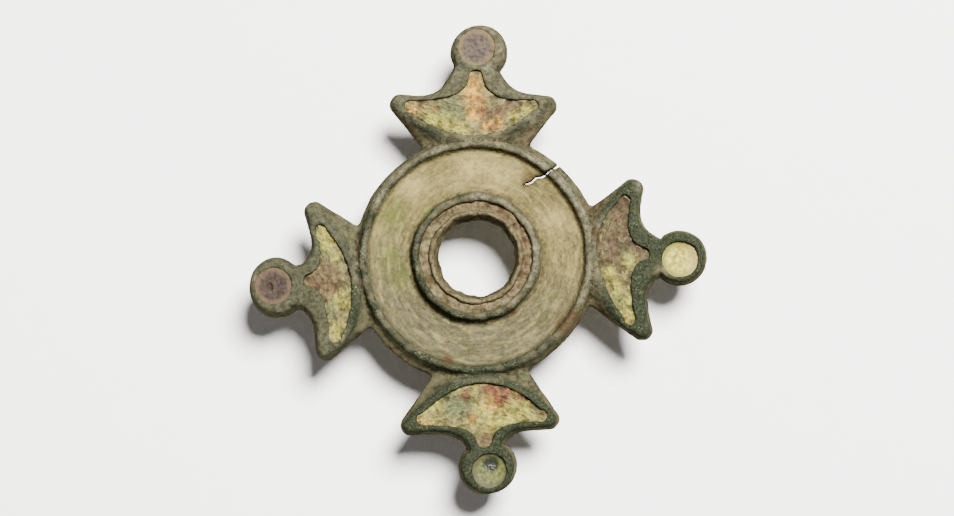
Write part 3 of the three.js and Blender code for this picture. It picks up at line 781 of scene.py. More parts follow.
def closed_tube(grid):
    """Points, quads and end triangles of a grid of rings, each ring closed on itself, with
    the two end rings shrunk to one point each."""
    rings, around, _ = grid.shape
    first, last = (grid[end].mean(axis=0, keepdims=True) for end in (0, -1))
    points = np.vstack([first, grid[1:-1].reshape(-1, 3), last])
    i, j = np.meshgrid(np.arange(rings - 3), np.arange(around), indexing="ij")
    here, right = 1 + i * around + j, 1 + i * around + (j + 1) % around
    quads = np.stack([here, right, right + around, here + around], axis=-1).reshape(-1, 4)
    j, last_ring = np.arange(around), 1 + (rings - 3) * around
    start = np.column_stack([0 * j, 1 + (j + 1) % around, 1 + j])
    end = np.column_stack([0 * j + len(points) - 1, last_ring + j, last_ring + (j + 1) % around])
    return points, quads, np.vstack([start, end])


def make_tube(name, grid, attributes=()):
    """A piece from a grid of rings, all triangles, turned so that they face outwards."""
    points, quads, ends = closed_tube(grid)
    a, b, c, d = (points[quads[:, i]] for i in range(4))
    outward = (np.cross(c - a, d - b) * (a - points.mean(axis=0))).sum()
    triangles = np.vstack([quads[:, [0, 1, 2]], quads[:, [0, 2, 3]], ends])
    if outward < 0:
        triangles = triangles[:, ::-1]
    values = {}
    for label, value in dict(attributes).items():
        values[label] = np.concatenate([[value[0].mean()], value[1:-1].ravel(), [value[-1].mean()]])
    return make_piece(name, points, triangles, values)


print("a tube of 5 rings of 4 points has", len(closed_tube(np.ones((5, 4, 3)))[0]), "points")

# %% Make the four crescents

# An inlay goes a little way into the walls of its cell and stops just over the floor.
GRIP = 0.06
INLAY_FLOOR = CELL_FLOOR + 0.04

# Where the crust of each crescent has its colours, as (u, w, radius) on its arm.
CRUST_PLACES = {
    "top": dict(
        orange=[(15.4, 0.0, 0.6), (14.4, 0.1, 0.8), (13.4, -0.1, 0.8), (12.4, 0.1, 0.5), (11.5, -1.0, 0.5),
                (11.7, -2.0, 0.5), (12.9, 5.6, 0.6)],
        yellow=[(12.1, 3.9, 1.0), (11.7, 2.4, 0.8), (11.3, 1.0, 0.6), (14.8, 0.9, 0.5), (12.2, -3.4, 0.5),
                (12.9, -4.6, 0.5)],
        red=[(13.9, -0.3, 0.4), (12.9, -0.5, 0.5), (13.1, 3.4, 0.3), (11.4, -1.8, 0.4)],
        brown=[(13.6, 4.4, 0.7), (12.6, -2.0, 0.9), (13.3, -3.2, 0.7), (13.7, -4.6, 0.7),
               (12.1, -0.6, 0.5)],
        green=[(12.9, 2.4, 1.3), (12.5, 1.2, 0.8), (12.9, -1.2, 0.6)]),
    "right": dict(
        orange=[(12.9, -5.5, 0.4)],
        yellow=[(13.4, -0.3, 0.6), (13.2, -5.0, 0.9), (12.2, -2.6, 0.8), (11.6, -1.2, 0.5),
                (13.6, -3.6, 0.5)],
        brown=[(11.7, 1.4, 0.9), (12.9, 5.0, 0.8), (12.4, 3.4, 0.7), (14.1, 1.0, 0.7), (13.2, 2.2, 0.6),
               (13.0, -2.4, 0.5), (11.9, 0.0, 0.6), (15.1, 0.0, 0.5)],
        green=[(12.9, 0.7, 0.6), (12.6, -3.8, 0.5)]),
    "bottom": dict(
        green=[(13.2, -2.0, 1.3), (12.6, -3.0, 0.7), (13.6, 4.4, 0.5)],
        yellow=[(13.9, 2.0, 1.2), (14.7, 0.8, 0.8), (13.5, 3.5, 0.8), (12.9, -4.1, 0.6), (13.2, -0.1, 0.5)],
        orange=[(14.4, -5.2, 0.5), (13.0, 0.9, 0.7), (14.2, -1.0, 0.4)],
        red=[(11.7, 2.0, 0.9), (11.6, 0.6, 0.7), (12.3, 3.5, 0.6), (12.6, 1.6, 0.6), (12.0, -1.4, 0.4)],
        brown=[(16.0, 0.1, 0.9), (15.6, 0.8, 0.6), (13.7, 5.3, 0.6)]),
    "left": dict(
        yellow=[(12.8, -4.2, 0.7), (12.7, -3.2, 0.7), (12.1, 2.1, 0.9), (13.0, 4.7, 0.8),
                (12.2, -1.8, 0.4)],
        brown=[(14.4, 0.1, 0.8), (12.7, 0.7, 0.9), (12.9, -0.9, 0.7), (12.3, 3.6, 0.4), (13.5, 1.4, 0.5)],
        green=[(13.3, -2.3, 0.7), (11.8, 1.0, 0.5), (13.2, 2.8, 0.6)]),
}


def make_crescent(place, arm):
    """Lines across the cell at w, whose u goes from belly to hollow side along the top and
    back along the floor. On top z = the inlay's height + broad noise + a relief of fibres,
    crumbs and gaps - how far it is sunk along its edge."""
    belly, hollow_side = crescent_sides(arm)
    w_low, w_high = belly[0, 1], belly[-1, 1]
    rows = np.linspace(-1, 1, 181)
    crowded = 0.55 * rows + 0.45 * np.sin(rows * math.pi / 2)
    w = (w_high - w_low) / 2 * crowded + (w_high + w_low) / 2
    u_near = np.interp(w, belly[:, 1], belly[:, 0]) - GRIP
    order = np.argsort(hollow_side[:, 1])
    u_far = np.interp(w, hollow_side[order, 1], hollow_side[order, 0]) + GRIP
    on_top, on_floor = 56, 12
    across = np.concatenate([np.linspace(0, 1, on_top), np.linspace(1, 0, on_floor)[1:-1]])
    u_near, width = u_near[:, None], (u_far - u_near)[:, None]
    u = u_near + width * across
    w = np.broadcast_to(w[:, None], u.shape)
    edge = np.minimum(across * width, (1 - across) * width)
    plan_points = on_bearing(np.column_stack([u.ravel(), w.ravel()]), arm["bearing"])
    flat_points = np.column_stack([plan_points, np.zeros(u.size)])
    fibre = np.column_stack([
        (u - u_near).ravel() / 0.3, w.ravel() / 1.3, np.full(u.size, arm["bearing"] / 9)])
    torn = 0.9 - 2.6 * np.abs(layered_noise(fibre, 1.0, 3, 45))
    crumbs = layered_noise(flat_points, 0.42, 3, 43)
    gaps = ramp(noise(flat_points, 0.6, 47) + 0.5 * torn, 0.25, 0.8)
    sunk = (0.12 + 0.12 * noise(flat_points, 1.1, 49)) * np.exp(-edge.ravel() / 0.2)
    relief = 0.11 * (torn - 0.2) + 0.10 * crumbs - 0.14 * gaps
    top = INLAY_TOP - 0.06 + 0.10 * noise(flat_points, 1.9, 41) + relief - sunk
    is_top = np.broadcast_to(np.arange(len(across)) < on_top, u.shape).ravel()
    z = np.where(is_top, top, INLAY_FLOOR)
    relief = relief.reshape(u.shape)
    attributes = {colour: spots(u, w, places) for colour, places in CRUST_PLACES[place].items()}
    attributes["low"] = np.clip(-relief / 0.16 + np.exp(-edge / 0.16) * 0.5, 0, 1)
    attributes["high"] = ramp(relief, 0.02, 0.14)
    grid = np.column_stack([plan_points, z]).reshape(*u.shape, 3)
    piece = make_tube(f"enamel_crescent_{place}", grid, attributes)
    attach(piece, "root")
    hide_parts(f"crescent_enamel_{place}")
    return piece


crescents = {place: make_crescent(place, arm) for place, arm in ARMS.items()}

# %% [markdown]
# ## The round inlays and the ring in the collar
#
# Each knob's inlay is a dish: rings of points that shrink to the middle on top and under
# it. The ring in the collar is the same idea carried once round the disc's axis.

# %% Make the round inlays


# How deep each round inlay is sunk in its middle, and how rough its crust is.
EYE_SURFACES = {"top": (0.0, 0.05), "right": (0.55, 0.02), "bottom": (0.45, 0.03), "left": (0.04, 0.05)}


def make_eye(place, arm):
    """Rings of points at radius r and angle a. On top z = a dish that is sunk in its middle
    + crumbs."""
    around = np.linspace(0, 2 * math.pi, 97)[:-1]
    reach = arm["eye_radius"] + 0.05
    on_top, on_floor = 30, 6
    radii = np.concatenate([np.linspace(0, 1, on_top), np.linspace(1, 0, on_floor)]) * reach
    is_top = np.arange(len(radii)) < on_top
    r, a = np.meshgrid(radii, around, indexing="ij")
    u, w = r * np.cos(a), r * np.sin(a)
    placed = np.column_stack([arm["eye"][0] + u.ravel(), arm["eye"][1] + w.ravel()])
    plan_points = on_bearing(placed, arm["bearing"])
    flat_points = np.column_stack([plan_points, np.zeros(r.size)])
    sunk, crust = EYE_SURFACES[place]
    dish = WALL_TOP - 0.12 - sunk * (1 - 0.6 * (r / reach) ** 2)
    holes = ramp(noise(flat_points, 0.8, 53), 0.45, 0.8)
    crumbs = crust * (layered_noise(flat_points, 0.7, 4, 51) - 4 * holes).reshape(r.shape)
    z = np.where(is_top[:, None], dish + crumbs, INLAY_FLOOR)
    ragged = 0.12 * noise(flat_points, 0.9, 55).reshape(r.shape)
    attributes = dict(
        rim=ramp(r / reach + ragged, 0.62, 0.85),
        low=np.clip(-crumbs / 0.2, 0, 1),
        warm=ramp(u, 0.0, reach) if place == "right" else 0 * r,
        # The bottom knob's round of dark glass, drawn larger over the top of the inlay to paint the shade
        # that its deep wall casts.
        glass_and_shade=ramp(spots(u, w, [(-0.6, 0.1, 0.9)]), 0.35, 0.75) if place == "bottom" else 0 * r)
    grid = np.column_stack([plan_points, z.ravel()]).reshape(*r.shape, 3)
    piece = make_tube(f"enamel_eye_{place}", grid, attributes)
    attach(piece, "root")
    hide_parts(f"knob_enamel_{place}")
    return piece


eyes = {place: make_eye(place, arm) for place, arm in ARMS.items()}

# %% Make the remains in the collar's channel


def make_ring():
    """A tube round the disc's axis. On top z = a low arch over the radius + crumbs."""
    around = np.linspace(0, 2 * math.pi, 361)[:-1]
    inner, outer, on_top, on_floor = 4.0, 5.1, 12, 5
    across = np.concatenate([np.linspace(inner, outer, on_top), np.linspace(outer, inner, on_floor)])
    is_top = np.arange(len(across)) < on_top
    a, r = np.meshgrid(around, across, indexing="ij")
    flat_points = np.column_stack([(r * np.cos(a)).ravel(), (r * np.sin(a)).ravel(), np.zeros(r.size)])
    gaps = ramp(noise(flat_points, 1.3, 63), 0.3, 0.8)
    crumbs = 0.2 * layered_noise(flat_points, 0.7, 4, 61) - 0.2 * gaps
    arch = 1.92 + crumbs.reshape(r.shape) - 0.3 * (r - (inner + outer) / 2) ** 2
    z = np.where(is_top, arch, 1.42)
    points = np.column_stack([flat_points[:, :2], z.ravel()])
    n, m = r.shape
    i, j = np.meshgrid(np.arange(n), np.arange(m), indexing="ij")
    on, over = (i + 1) % n, (j + 1) % m
    faces = np.stack([i * m + over, on * m + over, on * m + j, i * m + j], axis=-1).reshape(-1, 4)
    return make_piece("enamel_ring", points, faces, dict(
        low=np.clip(-crumbs / 0.2, 0, 1), warm=ramp(np.cos(a - 0.4), 0.2, 0.9).ravel()))


ring = make_ring()
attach(ring, "root")
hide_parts("collar_enamel")

# %% [markdown]
# ## The rusted axle and the pin's root
#
# Both are a round section carried along a path, swollen and pitted by noise. The axle lies
# along the hinge; the pin's head wraps it between the lugs, and the root of the pin leaves
# it towards the catch and ends in a fracture.

# %% Carry a swelling section along a path


def make_rod(name, path, radii, roughness, seed, sides=48):
    """Rings of points about a path: path + radius * (side * cos a + up * sin a), pushed out
    and in by noise that fades with the radius towards the ends."""
    path, radii = np.array(path, float), np.array(radii, float)
    along = np.gradient(path, axis=0)
    along /= np.linalg.norm(along, axis=1, keepdims=True)
    side = np.cross(along, (0, 0, 1.0))
    side /= np.linalg.norm(side, axis=1, keepdims=True)
    up = np.cross(side, along)
    angle = np.linspace(0, 2 * math.pi, sides + 1)[:-1]
    outward = side[:, None] * np.cos(angle)[:, None] + up[:, None] * np.sin(angle)[:, None]
    grid = path[:, None] + outward * radii[:, None, None]
    swell = roughness * layered_noise(grid.reshape(-1, 3), 0.9, 4, seed).reshape(grid.shape[:2])
    grid = grid + outward * (swell * np.minimum(radii / radii.max(), 1)[:, None])[:, :, None]
    return make_tube(name, grid)


def on_back_line(points):
    """Turns points of the hinge onto the line from hinge to catch."""
    points = np.array(points, float)
    return np.column_stack([on_bearing(points[:, :2], BACK_BEARING), points[:, 2] - BACK])


AXLE_ENDS, AXLE_RINGS = (-2.8, 2.6), 60
axle_path = on_back_line(np.linspace(*((x, HINGE_Y, AXLE_Z) for x in AXLE_ENDS), AXLE_RINGS))
blunt = np.abs(np.linspace(-1, 1, AXLE_RINGS)) ** 14
axle_radii = AXLE_RADIUS * np.sqrt(np.clip(1 - blunt, 0, 1)) + 0.001
axle = make_rod("rusted_axle", axle_path, axle_radii, 0.12, 71)
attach(axle, "root")
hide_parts("hinge_axle")

# %% Make the pin's head and root


ROOT_START, ROOT_END = np.array([-0.85, -9.9, 1.35]), np.array([-0.2, -5.6, 2.7])


def root_distance(points):
    """Distance to the root, a rod whose radius narrows from 0.6 mm to 0.4 mm."""
    along = ROOT_END - ROOT_START
    t = np.clip(((points - ROOT_START) @ along) / (along @ along), 0, 1)
    return np.linalg.norm(points - ROOT_START - t[:, None] * along, axis=1) - (0.6 - 0.2 * t)


def pin_field():
    """The head and root as one field: a thick ring round the axle joined to a tapered rod
    that ends in a slanted break."""
    step = 0.085
    spans = ((-2.2, 1.5), (-11.8, -5.0), (0.3, 5.0))
    gx, gy, gz = (np.arange(low, high, step) for low, high in spans)
    points = np.stack(np.meshgrid(gx, gy, gz, indexing="ij"), axis=-1).reshape(-1, 3)
    x, y, z = points.T
    lumpy = 0.10 * layered_noise(points, 1.1, 4, 81)
    from_axle = np.hypot(y - HINGE_Y, z - AXLE_Z)
    head = keep(from_axle - 1.9, abs(x + 0.375) - 1.36, 0.6)
    head = np.maximum(head, 0.7 - from_axle)
    root = root_distance(points)
    along = ROOT_END - ROOT_START
    past_end = (points - ROOT_END) @ (along / np.linalg.norm(along))
    broken = past_end + 0.25 * (x + 0.2) - 0.02 + 0.5 * lumpy
    root = np.maximum(root, broken)
    field = join(head + lumpy, root, 0.25).reshape(len(gx), len(gy), len(gz))
    return field, np.array([gx[0], gy[0], gz[0]]), step


pin_points, pin_faces = wrap(*pin_field())
rubbed = spots(pin_points[:, 0], pin_points[:, 1], [(0.25, -9.3, 0.45)])
pin = make_piece("pin_head_and_root", on_back_line(pin_points), pin_faces, dict(
    root=1 - ramp(root_distance(pin_points), 0.02, 0.16),
    bare=rubbed * ramp(-pin_points[:, 2], -2.4, -1.6)))
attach(pin, "root")
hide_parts("pin_stub")

# %% [markdown]
# ## Materials
#
# Colours are sRGB hex values turned to linear by one function, and one small function adds
# a node. Patterns read Object coordinates in metres, so a noise's scale is one over the
# size that it should have. A patina is layers laid over one another, so each colour is
# painted in the same way: a base, then coats, each with what it covers.

# %% Helpers for materials


def linear(hex_colour):
    """An sRGB hex colour as linear red, green, blue and alpha."""
    value = np.array([int(hex_colour[i:i + 2], 16) for i in (1, 3, 5)]) / 255
    value = np.where(value <= 0.04045, value / 12.92, ((value + 0.055) / 1.055) ** 2.4)
    return (*value, 1.0)


def new_material(name):
    """An empty node material."""
    material = bpy.data.materials.new(name)
    material.use_nodes = True
    material.node_tree.nodes.clear()
    return material


def add(material, kind, inputs, **settings):
    """Adds a node. Settings name its properties. Inputs feed its sockets, each from another
    node's socket, a number or a hex colour."""
    item = material.node_tree.nodes.new(kind)
    for name, value in settings.items():
        setattr(item, name, value)
    for name, source in inputs.items():
        if isinstance(source, bpy.types.NodeSocket):
            material.node_tree.links.new(source, item.inputs[name])
        else:
            item.inputs[name].default_value = linear(source) if isinstance(source, str) else source
    return item


def grain(material, size_mm, detail=4.0, roughness=0.6, distortion=0.0):
    """Noise on Object coordinates whose lumps are about size_mm across, as a 0 to 1 value."""
    where = add(material, "ShaderNodeTexCoord", {}).outputs["Object"]
    return add(material, "ShaderNodeTexNoise", {
        "Vector": where, "Scale": 1 / (size_mm * MM), "Detail": detail, "Roughness": roughness,
        "Distortion": distortion}).outputs["Fac"]


def ring_grain(material, across_mm, along_mm, middle_mm=7.5):
    """Noise drawn out round the Z axis: across_mm is its size along a radius and along_mm
    its size round a circle of radius middle_mm."""
    where = add(material, "ShaderNodeTexCoord", {}).outputs["Object"]
    x, y, _ = add(material, "ShaderNodeSeparateXYZ", {0: where}).outputs
    flat = add(material, "ShaderNodeCombineXYZ", {0: x, 1: y}).outputs[0]
    reach = add(material, "ShaderNodeVectorMath", {0: flat}, operation="LENGTH").outputs["Value"]
    turned = add(material, "ShaderNodeVectorMath", {0: flat}, operation="NORMALIZE").outputs[0]
    turned = add(material, "ShaderNodeVectorMath", {0: turned, "Scale": middle_mm / along_mm},
                 operation="SCALE").outputs[0]
    x, y, _ = add(material, "ShaderNodeSeparateXYZ", {0: turned}).outputs
    steps = amount(material, reach, 1 / (across_mm * MM))
    where = add(material, "ShaderNodeCombineXYZ", {0: x, 1: y, 2: steps}).outputs[0]
    return add(material, "ShaderNodeTexNoise", {
        "Vector": where, "Scale": 1.0, "Detail": 4.0, "Roughness": 0.65}).outputs["Fac"]


def amount(material, *factors):
    """The product of factors. Each is a number, a socket, the name of a mask on the mesh,
    or (factor, start, end): the factor's stretch from start to end turned into 0 to 1."""
    total = None
    for factor in factors:
        if isinstance(factor, str):
            factor = add(material, "ShaderNodeAttribute", {}, attribute_name=factor).outputs["Fac"]
        elif isinstance(factor, tuple):
            value, start, end = factor
            ends = {0: amount(material, value), 1: start, 2: end}
            factor = add(material, "ShaderNodeMapRange", ends, clamp=True).outputs[0]
        if total is None:
            total = factor
        else:
            total = add(material, "ShaderNodeMath", {0: total, 1: factor}, operation="MULTIPLY").outputs[0]
    return total


def paint(material, base, *coats):
    """Lays coats over a base colour. A coat is (colour, factor, factor...) and covers as
    much as the product of its factors. A colour is a hex value, a socket, or (colour,
    colour, factor): two colours mixed by a factor."""
    for tint, *factors in coats:
        sides = {6: base, 7: tint}
        for side, colour in sides.items():
            if isinstance(colour, tuple):
                below, above, factor = colour
                sides[side] = paint(material, below, (above, factor))
        mix = add(material, "ShaderNodeMix", {0: amount(material, *factors), **sides},
                  data_type="RGBA", clamp_factor=True)
        base = mix.outputs[2]
    return base


def finish_surface(material, colour, rough, bumps, gloss):
    """The shader: colour and roughness from sockets, and bumps, each as (height, depth in
    mm). Gloss is its specular level: corrosion takes most of it away."""
    shader = add(material, "ShaderNodeBsdfPrincipled", {
        "Base Color": colour, "Roughness": rough, "Specular IOR Level": gloss})
    normal = None
    for height, depth_mm in bumps:
        under = {"Normal": normal} if normal else {}
        normal = add(material, "ShaderNodeBump", {
            "Height": height, "Distance": depth_mm * MM, "Strength": 1.0, **under}).outputs["Normal"]
    material.node_tree.links.new(normal, shader.inputs["Normal"])
    add(material, "ShaderNodeOutputMaterial", {"Surface": shader.outputs[0]})
    print(f"{material.name}: {len(material.node_tree.nodes)} nodes")


# %% [markdown]
# ## Bronze under two thousand years of patina
#
# The body was cast in bronze, filed, and scraped round on the disc's face. In the ground the
# metal turned to green and brown minerals: dense and almost black-green where it was proud,
# thin and olive where it lay sheltered, with chalky earth on the back. Nothing bright is
# left, so this is a dull, dark, non-metallic surface and not a metal: it gives the eye
# broad soft patches, fine dark and pale specks, and no reflection. The pale glints on the
# crests are painted highlights, and light and shade are painted in other places too: crests
# paler towards the lamp and darker away from it, the field darker towards the bottom with a
# highlight on its lower left, and the hole's wall in shade. Each region is painted by itself
# from a few noises, and then the regions are laid over one another by the masks.

# %% Draw the bronze's patterns, from patches of 4.5 mm to specks of 0.17 mm
bronze = new_material("cast_bronze_with_earth_patina")
broad = amount(bronze, (grain(bronze, 4.5, 3.0), 0.36, 0.64))
blotch = amount(bronze, (grain(bronze, 1.3), 0.38, 0.62))
speck = amount(bronze, (grain(bronze, 0.4), 0.4, 0.6))
fine = amount(bronze, (grain(bronze, 0.18, 2.0), 0.35, 0.65))
# A pattern of fine specks: pale painted highlights on the crests, and dark specks on the hole's wall.
glint = amount(bronze, (grain(bronze, 0.17, 3.0), 0.54, 0.7), (blotch, 0.1, 1.1))
scraped = amount(bronze, (ring_grain(bronze, 0.2, 0.55), 0.3, 0.7))
scored = amount(bronze, (ring_grain(bronze, 0.16, 4.0, 14.5), 0.52, 0.62))

# %% Paint the disc's face, the casting's sides and the crests, with painted shade and highlights
face = paint(
    bronze, ("#3F3B25", "#6B603C", scraped),
    # Paler places, in part painted light: the lighter top of the field and a highlit band on its lower
    # left.
    ("#7F7349", "pale_and_highlit", (blotch, -0.8, 0.8)),
    # Painted shade: darker towards the bottom and right of the field.
    (("#33321F", "#555140", scraped), "low", 0.9),
    ("#4A5228", "green", ("streak", -0.4, 0.8)),
    ("#887D4F", ("streak", 0.5, 1.0), 0.7),
    ("#39341E", ("streak", 0.5, 0.0), 0.45),
    ("#2E2A18", (speck, 0.5, 0.0), 0.3))
flanks = paint(
    bronze, ("#27261C", "#403E2C", blotch),
    ("#5A573F", speck, 0.35),
    (("#2E271B", "#473D2B", speck), "brown", 0.8),
    (("#26231A", "#454029", blotch), "side", 0.85))
# The paler crest colour: rubbed crests and, in part, painted light on the sides towards the lamp.
worn_and_lit = paint(bronze, ("#36342A", "#625F4B", speck), ("#443C27", broad, 0.5))
dark_green = paint(bronze, "#171A12", ("#2A2F23", fine))
mottled = paint(bronze, worn_and_lit, (dark_green, "dark", (grain(bronze, 0.8), 0.42, 0.58)))
crests = paint(
    bronze, worn_and_lit,
    (dark_green, "dark", (blotch, -1.6, 0.3)),
    (mottled, "disc", 0.85),
    # Painted highlights: pale glints on the disc's crests.
    ("#6E6F52", glint, ("disc", -1.0, 1.2)))

# %% Paint the hole's wall and the earthy back
hole_wall = paint(bronze, ("#3C3424", "#655B42", speck), ("#23241A", glint, 0.8))
# Pale specks on the back: chalky earth, and in part painted glints off its hammered relief.
earth = paint(
    bronze, ("#3C3C2A", "#58553E", blotch),
    ("#706D57", (speck, 0.5, 1.3), 0.5),
    ("#706B4C", "pale_and_highlit", speck),
    ("#3E4530", "green", 0.7),
    ("#242819", "outline", (blotch, -0.4, 0.9)))

# %% Lay the regions over one another
colour = paint(
    bronze, flanks,
    (face, "field"),
    (crests, "crest"),
    (hole_wall, "inner", (blotch, -0.6, 1.0)),
    # Painted shade on the hole's wall.
    (("#2B2A1C", "#514C35", blotch), "bore"),
    (("#3B2E1F", "#564C36", blotch), "channel"),
    (earth, "back"),
    (("#39352A", "#4F4A36", blotch), "web"),
    ("#463D1F", "slot"),
    (("#1D2116", "#2F3324", blotch), "flap", 0.9),
    (("#1F1B12", "#37301F", blotch), "lugs"),
    ("#69644B", "scored", scored),
    (("#38281A", "#5C4A2B", "back"), "rust", (speck, -0.5, 0.8)),
    ("#1E180F", "split", 0.85),
    ("#1C160D", ("hollow", 0.6, 0.95), 0.8))
finish_surface(bronze, colour, amount(bronze, ("crest", 1.9, -1.0)), [
    (grain(bronze, 0.6, 6.0), 0.12), (grain(bronze, 0.22, 3.0), 0.07),
    (amount(bronze, grain(bronze, 0.6, 6.0, 0.7), "back"), 0.45)], 0.0)
casting.data.materials.append(bronze)

# %% [markdown]
# ## Enamel that has decayed to a crust
#
# Enamel is glass melted into the cells and polished flat. Burial leached it, and what is
# left is a matt, crumbly crust in yellow, olive, brown and brick red, split into fibres
# with dark gaps. It gives the eye colour in small soft places and hardly any gloss, so the
# roughness is high and the bumps deep. The knobs' inlays are smoother; one keeps a round
# of dark glass, which alone still shines. Its dark spot is drawn larger than the glass, over
# the top of the inlay, to paint the shade that the knob's deep wall casts there.

# %% Finish the crescents: leached enamel, crumbs of 0.4 mm in lumps of 0.9 mm
CRUST_TINTS = dict(
    green=("#3A3E2C", "#525636"), brown=("#33281D", "#503D2C"), yellow=("#625F2A", "#918B3A"),
    orange=("#6E5226", "#B48A34"), red=("#3B2419", "#6B4127"))
CRESCENT_TINTS = {
    "top": ("#45432C", "#6B6740"), "right": ("#302D1C", "#524D30"),
    "bottom": ("#4A4629", "#7A743A"), "left": ("#3C3824", "#645D38"),
}
for place, piece in crescents.items():
    enamel = new_material(f"decayed_enamel_crescent_{place}")
    crumb = amount(enamel, (grain(enamel, 0.4), 0.38, 0.62))
    lump = amount(enamel, (grain(enamel, 0.9), 0.3, 0.55))
    seams = grain(enamel, 0.5, 5.0, 0.7, 1.2)
    tinted = [((*tints, crumb), label, (lump, -0.9, 0.5))
              for label, tints in CRUST_TINTS.items() if label in CRUST_PLACES[place]]
    colour = paint(
        enamel, (*CRESCENT_TINTS[place], crumb),
        ("#8D865A", "high", 0.5),
        *tinted,
        ("#948D60", "high", 0.25),
        ("#251F12", "low", 0.85),
        ("#2E2113", (seams, 0.47, 0.4), 0.55))
    finish_surface(enamel, colour, amount(enamel, (crumb, -3.0, 1.5)), [
        (grain(enamel, 0.4, 5.0), 0.16), (grain(enamel, 0.16, 2.0), 0.07)], 0.15)
    piece.data.materials.append(enamel)

# %% Finish the knobs: fine leached enamel, stained by the bronze along its edge
EYE_TINTS = {
    "top": ("#2F2823", "#4A3F36", "#544730"), "right": ("#6C6830", "#A7A03F", "#66622E"),
    "bottom": ("#32341A", "#575A24", "#35361C"), "left": ("#1F1915", "#362B23", "#46392A"),
}
for place, piece in eyes.items():
    deep, pale, stain = EYE_TINTS[place]
    enamel = new_material(f"decayed_enamel_knob_{place}")
    crumb = amount(enamel, (grain(enamel, 0.35), 0.38, 0.62))
    colour = paint(
        enamel, (deep, pale, crumb),
        ("#2A231A", (grain(enamel, 0.22, 3.0), 0.55, 0.7), 0.45),
        (stain, "rim", (crumb, -0.8, 0.6)),
        ("#9A8455", "warm", 0.6),
        # Dark glass, and painted shade along the knob's upper wall.
        ("#1D201B", "glass_and_shade", 0.95),
        ("#221B12", "low", 0.8))
    finish_surface(enamel, colour, amount(enamel, ("glass_and_shade", 1.35, -0.9)), [
        (grain(enamel, 0.35, 5.0), 0.10)], 0.2 if place == "bottom" else 0.1)
    piece.data.materials.append(enamel)

# %% Finish the collar's channel: brown, earthy remains of enamel, quite matt
crust = new_material("brown_enamel_remains")
crumb = amount(crust, (grain(crust, 0.6, 5.0), 0.38, 0.62))
colour = paint(
    crust, ("#3B3524", "#655B42", crumb),
    ("#3A281A", "warm", (crumb, 1.2, -0.4)),
    ("#221A10", (grain(crust, 0.28), 0.55, 0.72)),
    ("#1F170E", "low", 0.8))
finish_surface(crust, colour, amount(crust, (crumb, -3.0, 1.4)), [(grain(crust, 0.35, 5.0), 0.16)], 0.03)
ring.data.materials.append(crust)

# %% [markdown]
# ## The iron axle and the bronze pin
#
# The axle was an iron wire. Rust has swollen it and left a dark brown, flaking skin. The
# pin was drawn and polished bronze; its root kept a smooth, almost black-green patina that
# catches the light, while its head is caked with dirt and matt, rubbed bare in one place.

# %% Finish the axle and the pin
rust = new_material("rusted_iron")
flake = amount(rust, (grain(rust, 0.5, 5.0), 0.36, 0.64))
colour = paint(rust, "#1B160F", ("#32291E", flake))
finish_surface(rust, colour, amount(rust, (flake, -3.0, 1.4)), [(grain(rust, 0.3, 5.0), 0.08)], 0.3)
axle.data.materials.append(rust)

pin_bronze = new_material("smooth_green_bronze")
mottle = amount(pin_bronze, (grain(pin_bronze, 0.7, 3.0), 0.36, 0.64))
colour = paint(
    pin_bronze, ("#110F0A", "#221D14", mottle),
    (("#10170F", "#223020", mottle), "root"),
    (("#2E2A1E", "#544E3A", mottle), "bare"))
rough = amount(pin_bronze, ("root", 1.3, 0.0))
finish_surface(pin_bronze, colour, rough, [(grain(pin_bronze, 0.4), 0.06)], 0.14)
pin.data.materials.append(pin_bronze)

# %% [markdown]
# ## Floor, light and camera
#
# The brooch lies on plain white paper. One broad soft lamp stands high up to the right,
# beyond the top arm, and a pale surround fills the shadows. The camera looks almost
# straight down.

# %% Lay the floor


def lay_floor():
    """A square sheet of matt white paper, with a tooth of 3 mm and no shine to speak of."""
    reach = 1.2
    corners = [(x * reach, y * reach, 0) for x, y in ((-1, -1), (1, -1), (1, 1), (-1, 1))]
    mesh = bpy.data.meshes.new("floor")
    mesh.from_pydata(corners, [], [(0, 1, 2, 3)])
    floor = bpy.data.objects.new("floor", mesh)
    bpy.context.scene.collection.objects.link(floor)
    paper = new_material("white_paper")
    tooth = grain(paper, 3.0, 2.0)
    colour = paint(paper, "#F4F3F2", ("#F8F7F6", tooth))
    finish_surface(paper, colour, amount(paper, (tooth, -8.0, 2.0)), [(tooth, 0.002)], 0.2)
    mesh.materials.append(paper)
    return floor


floor = lay_floor()

# %% Set the lights


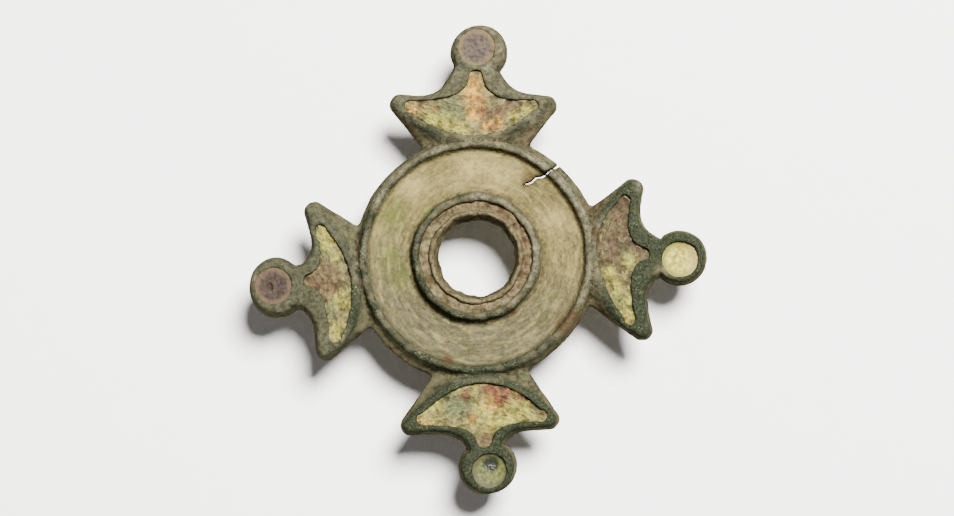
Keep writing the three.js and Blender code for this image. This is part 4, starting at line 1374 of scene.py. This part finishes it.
def aim(thing, position, target):
    """Puts a camera or lamp at a position, looking at the target along its own -Z axis,
    with +Y of the scene upwards in its view."""
    backward = np.array(position, float) - np.array(target, float)
    backward /= np.linalg.norm(backward)
    right = np.cross((0, 1.0, 0), backward)
    right /= np.linalg.norm(right)
    placed = np.eye(4)
    placed[:3] = np.column_stack([right, np.cross(backward, right), backward, position])
    thing.matrix_world = Matrix(placed.tolist())


def add_lamp(name, position, size, power, colour):
    """A round area lamp that looks at the brooch."""
    lamp = bpy.data.lights.new(name, "AREA")
    lamp.shape, lamp.size, lamp.energy, lamp.color = "DISK", size, power, colour
    holder = bpy.data.objects.new(name, lamp)
    bpy.context.scene.collection.objects.link(holder)
    aim(holder, position, (0, 0, 0.005))


# The lamp's place about the brooch, its size in metres, its power in watts and its tint.
KEY_BEARING, KEY_RISE, KEY_DISTANCE = math.radians(54), math.radians(66), 0.42
KEY_SIZE, KEY_POWER, KEY_TINT = 0.145, 10.9, (1.0, 0.985, 0.96)
ROOM_TINT, ROOM_STRENGTH = (1.0, 0.96, 0.97, 1.0), 0.16

key_direction = np.array([
    math.cos(KEY_BEARING) * math.cos(KEY_RISE),
    math.sin(KEY_BEARING) * math.cos(KEY_RISE),
    math.sin(KEY_RISE)])
add_lamp("window", KEY_DISTANCE * key_direction, KEY_SIZE, KEY_POWER, KEY_TINT)
world = bpy.data.worlds.new("pale_room")
world.use_nodes = True
world.node_tree.nodes["Background"].inputs[0].default_value = ROOM_TINT
world.node_tree.nodes["Background"].inputs[1].default_value = ROOM_STRENGTH
bpy.context.scene.world = world
print("a lamp and a pale surround")

# %% Place the camera
CAMERA_DISTANCE = 0.27
CAMERA_LEAN = (0.04, -0.06, 1.0)
VIEW_WIDTH = 0.0837
SENSOR_WIDTH_MM = 36.0
camera = bpy.data.cameras.new("camera")
camera.sensor_width = SENSOR_WIDTH_MM
camera.lens = SENSOR_WIDTH_MM * CAMERA_DISTANCE / VIEW_WIDTH
camera.clip_start = 0.01
holder = bpy.data.objects.new("camera", camera)
bpy.context.scene.collection.objects.link(holder)
target = np.array([0, 0, (BACK + 1.5) * MM])
aim(holder, target + CAMERA_DISTANCE * np.array(CAMERA_LEAN) / np.linalg.norm(CAMERA_LEAN), target)
bpy.context.scene.camera = holder
print("camera at", tuple(round(v, 3) for v in holder.matrix_world.translation))
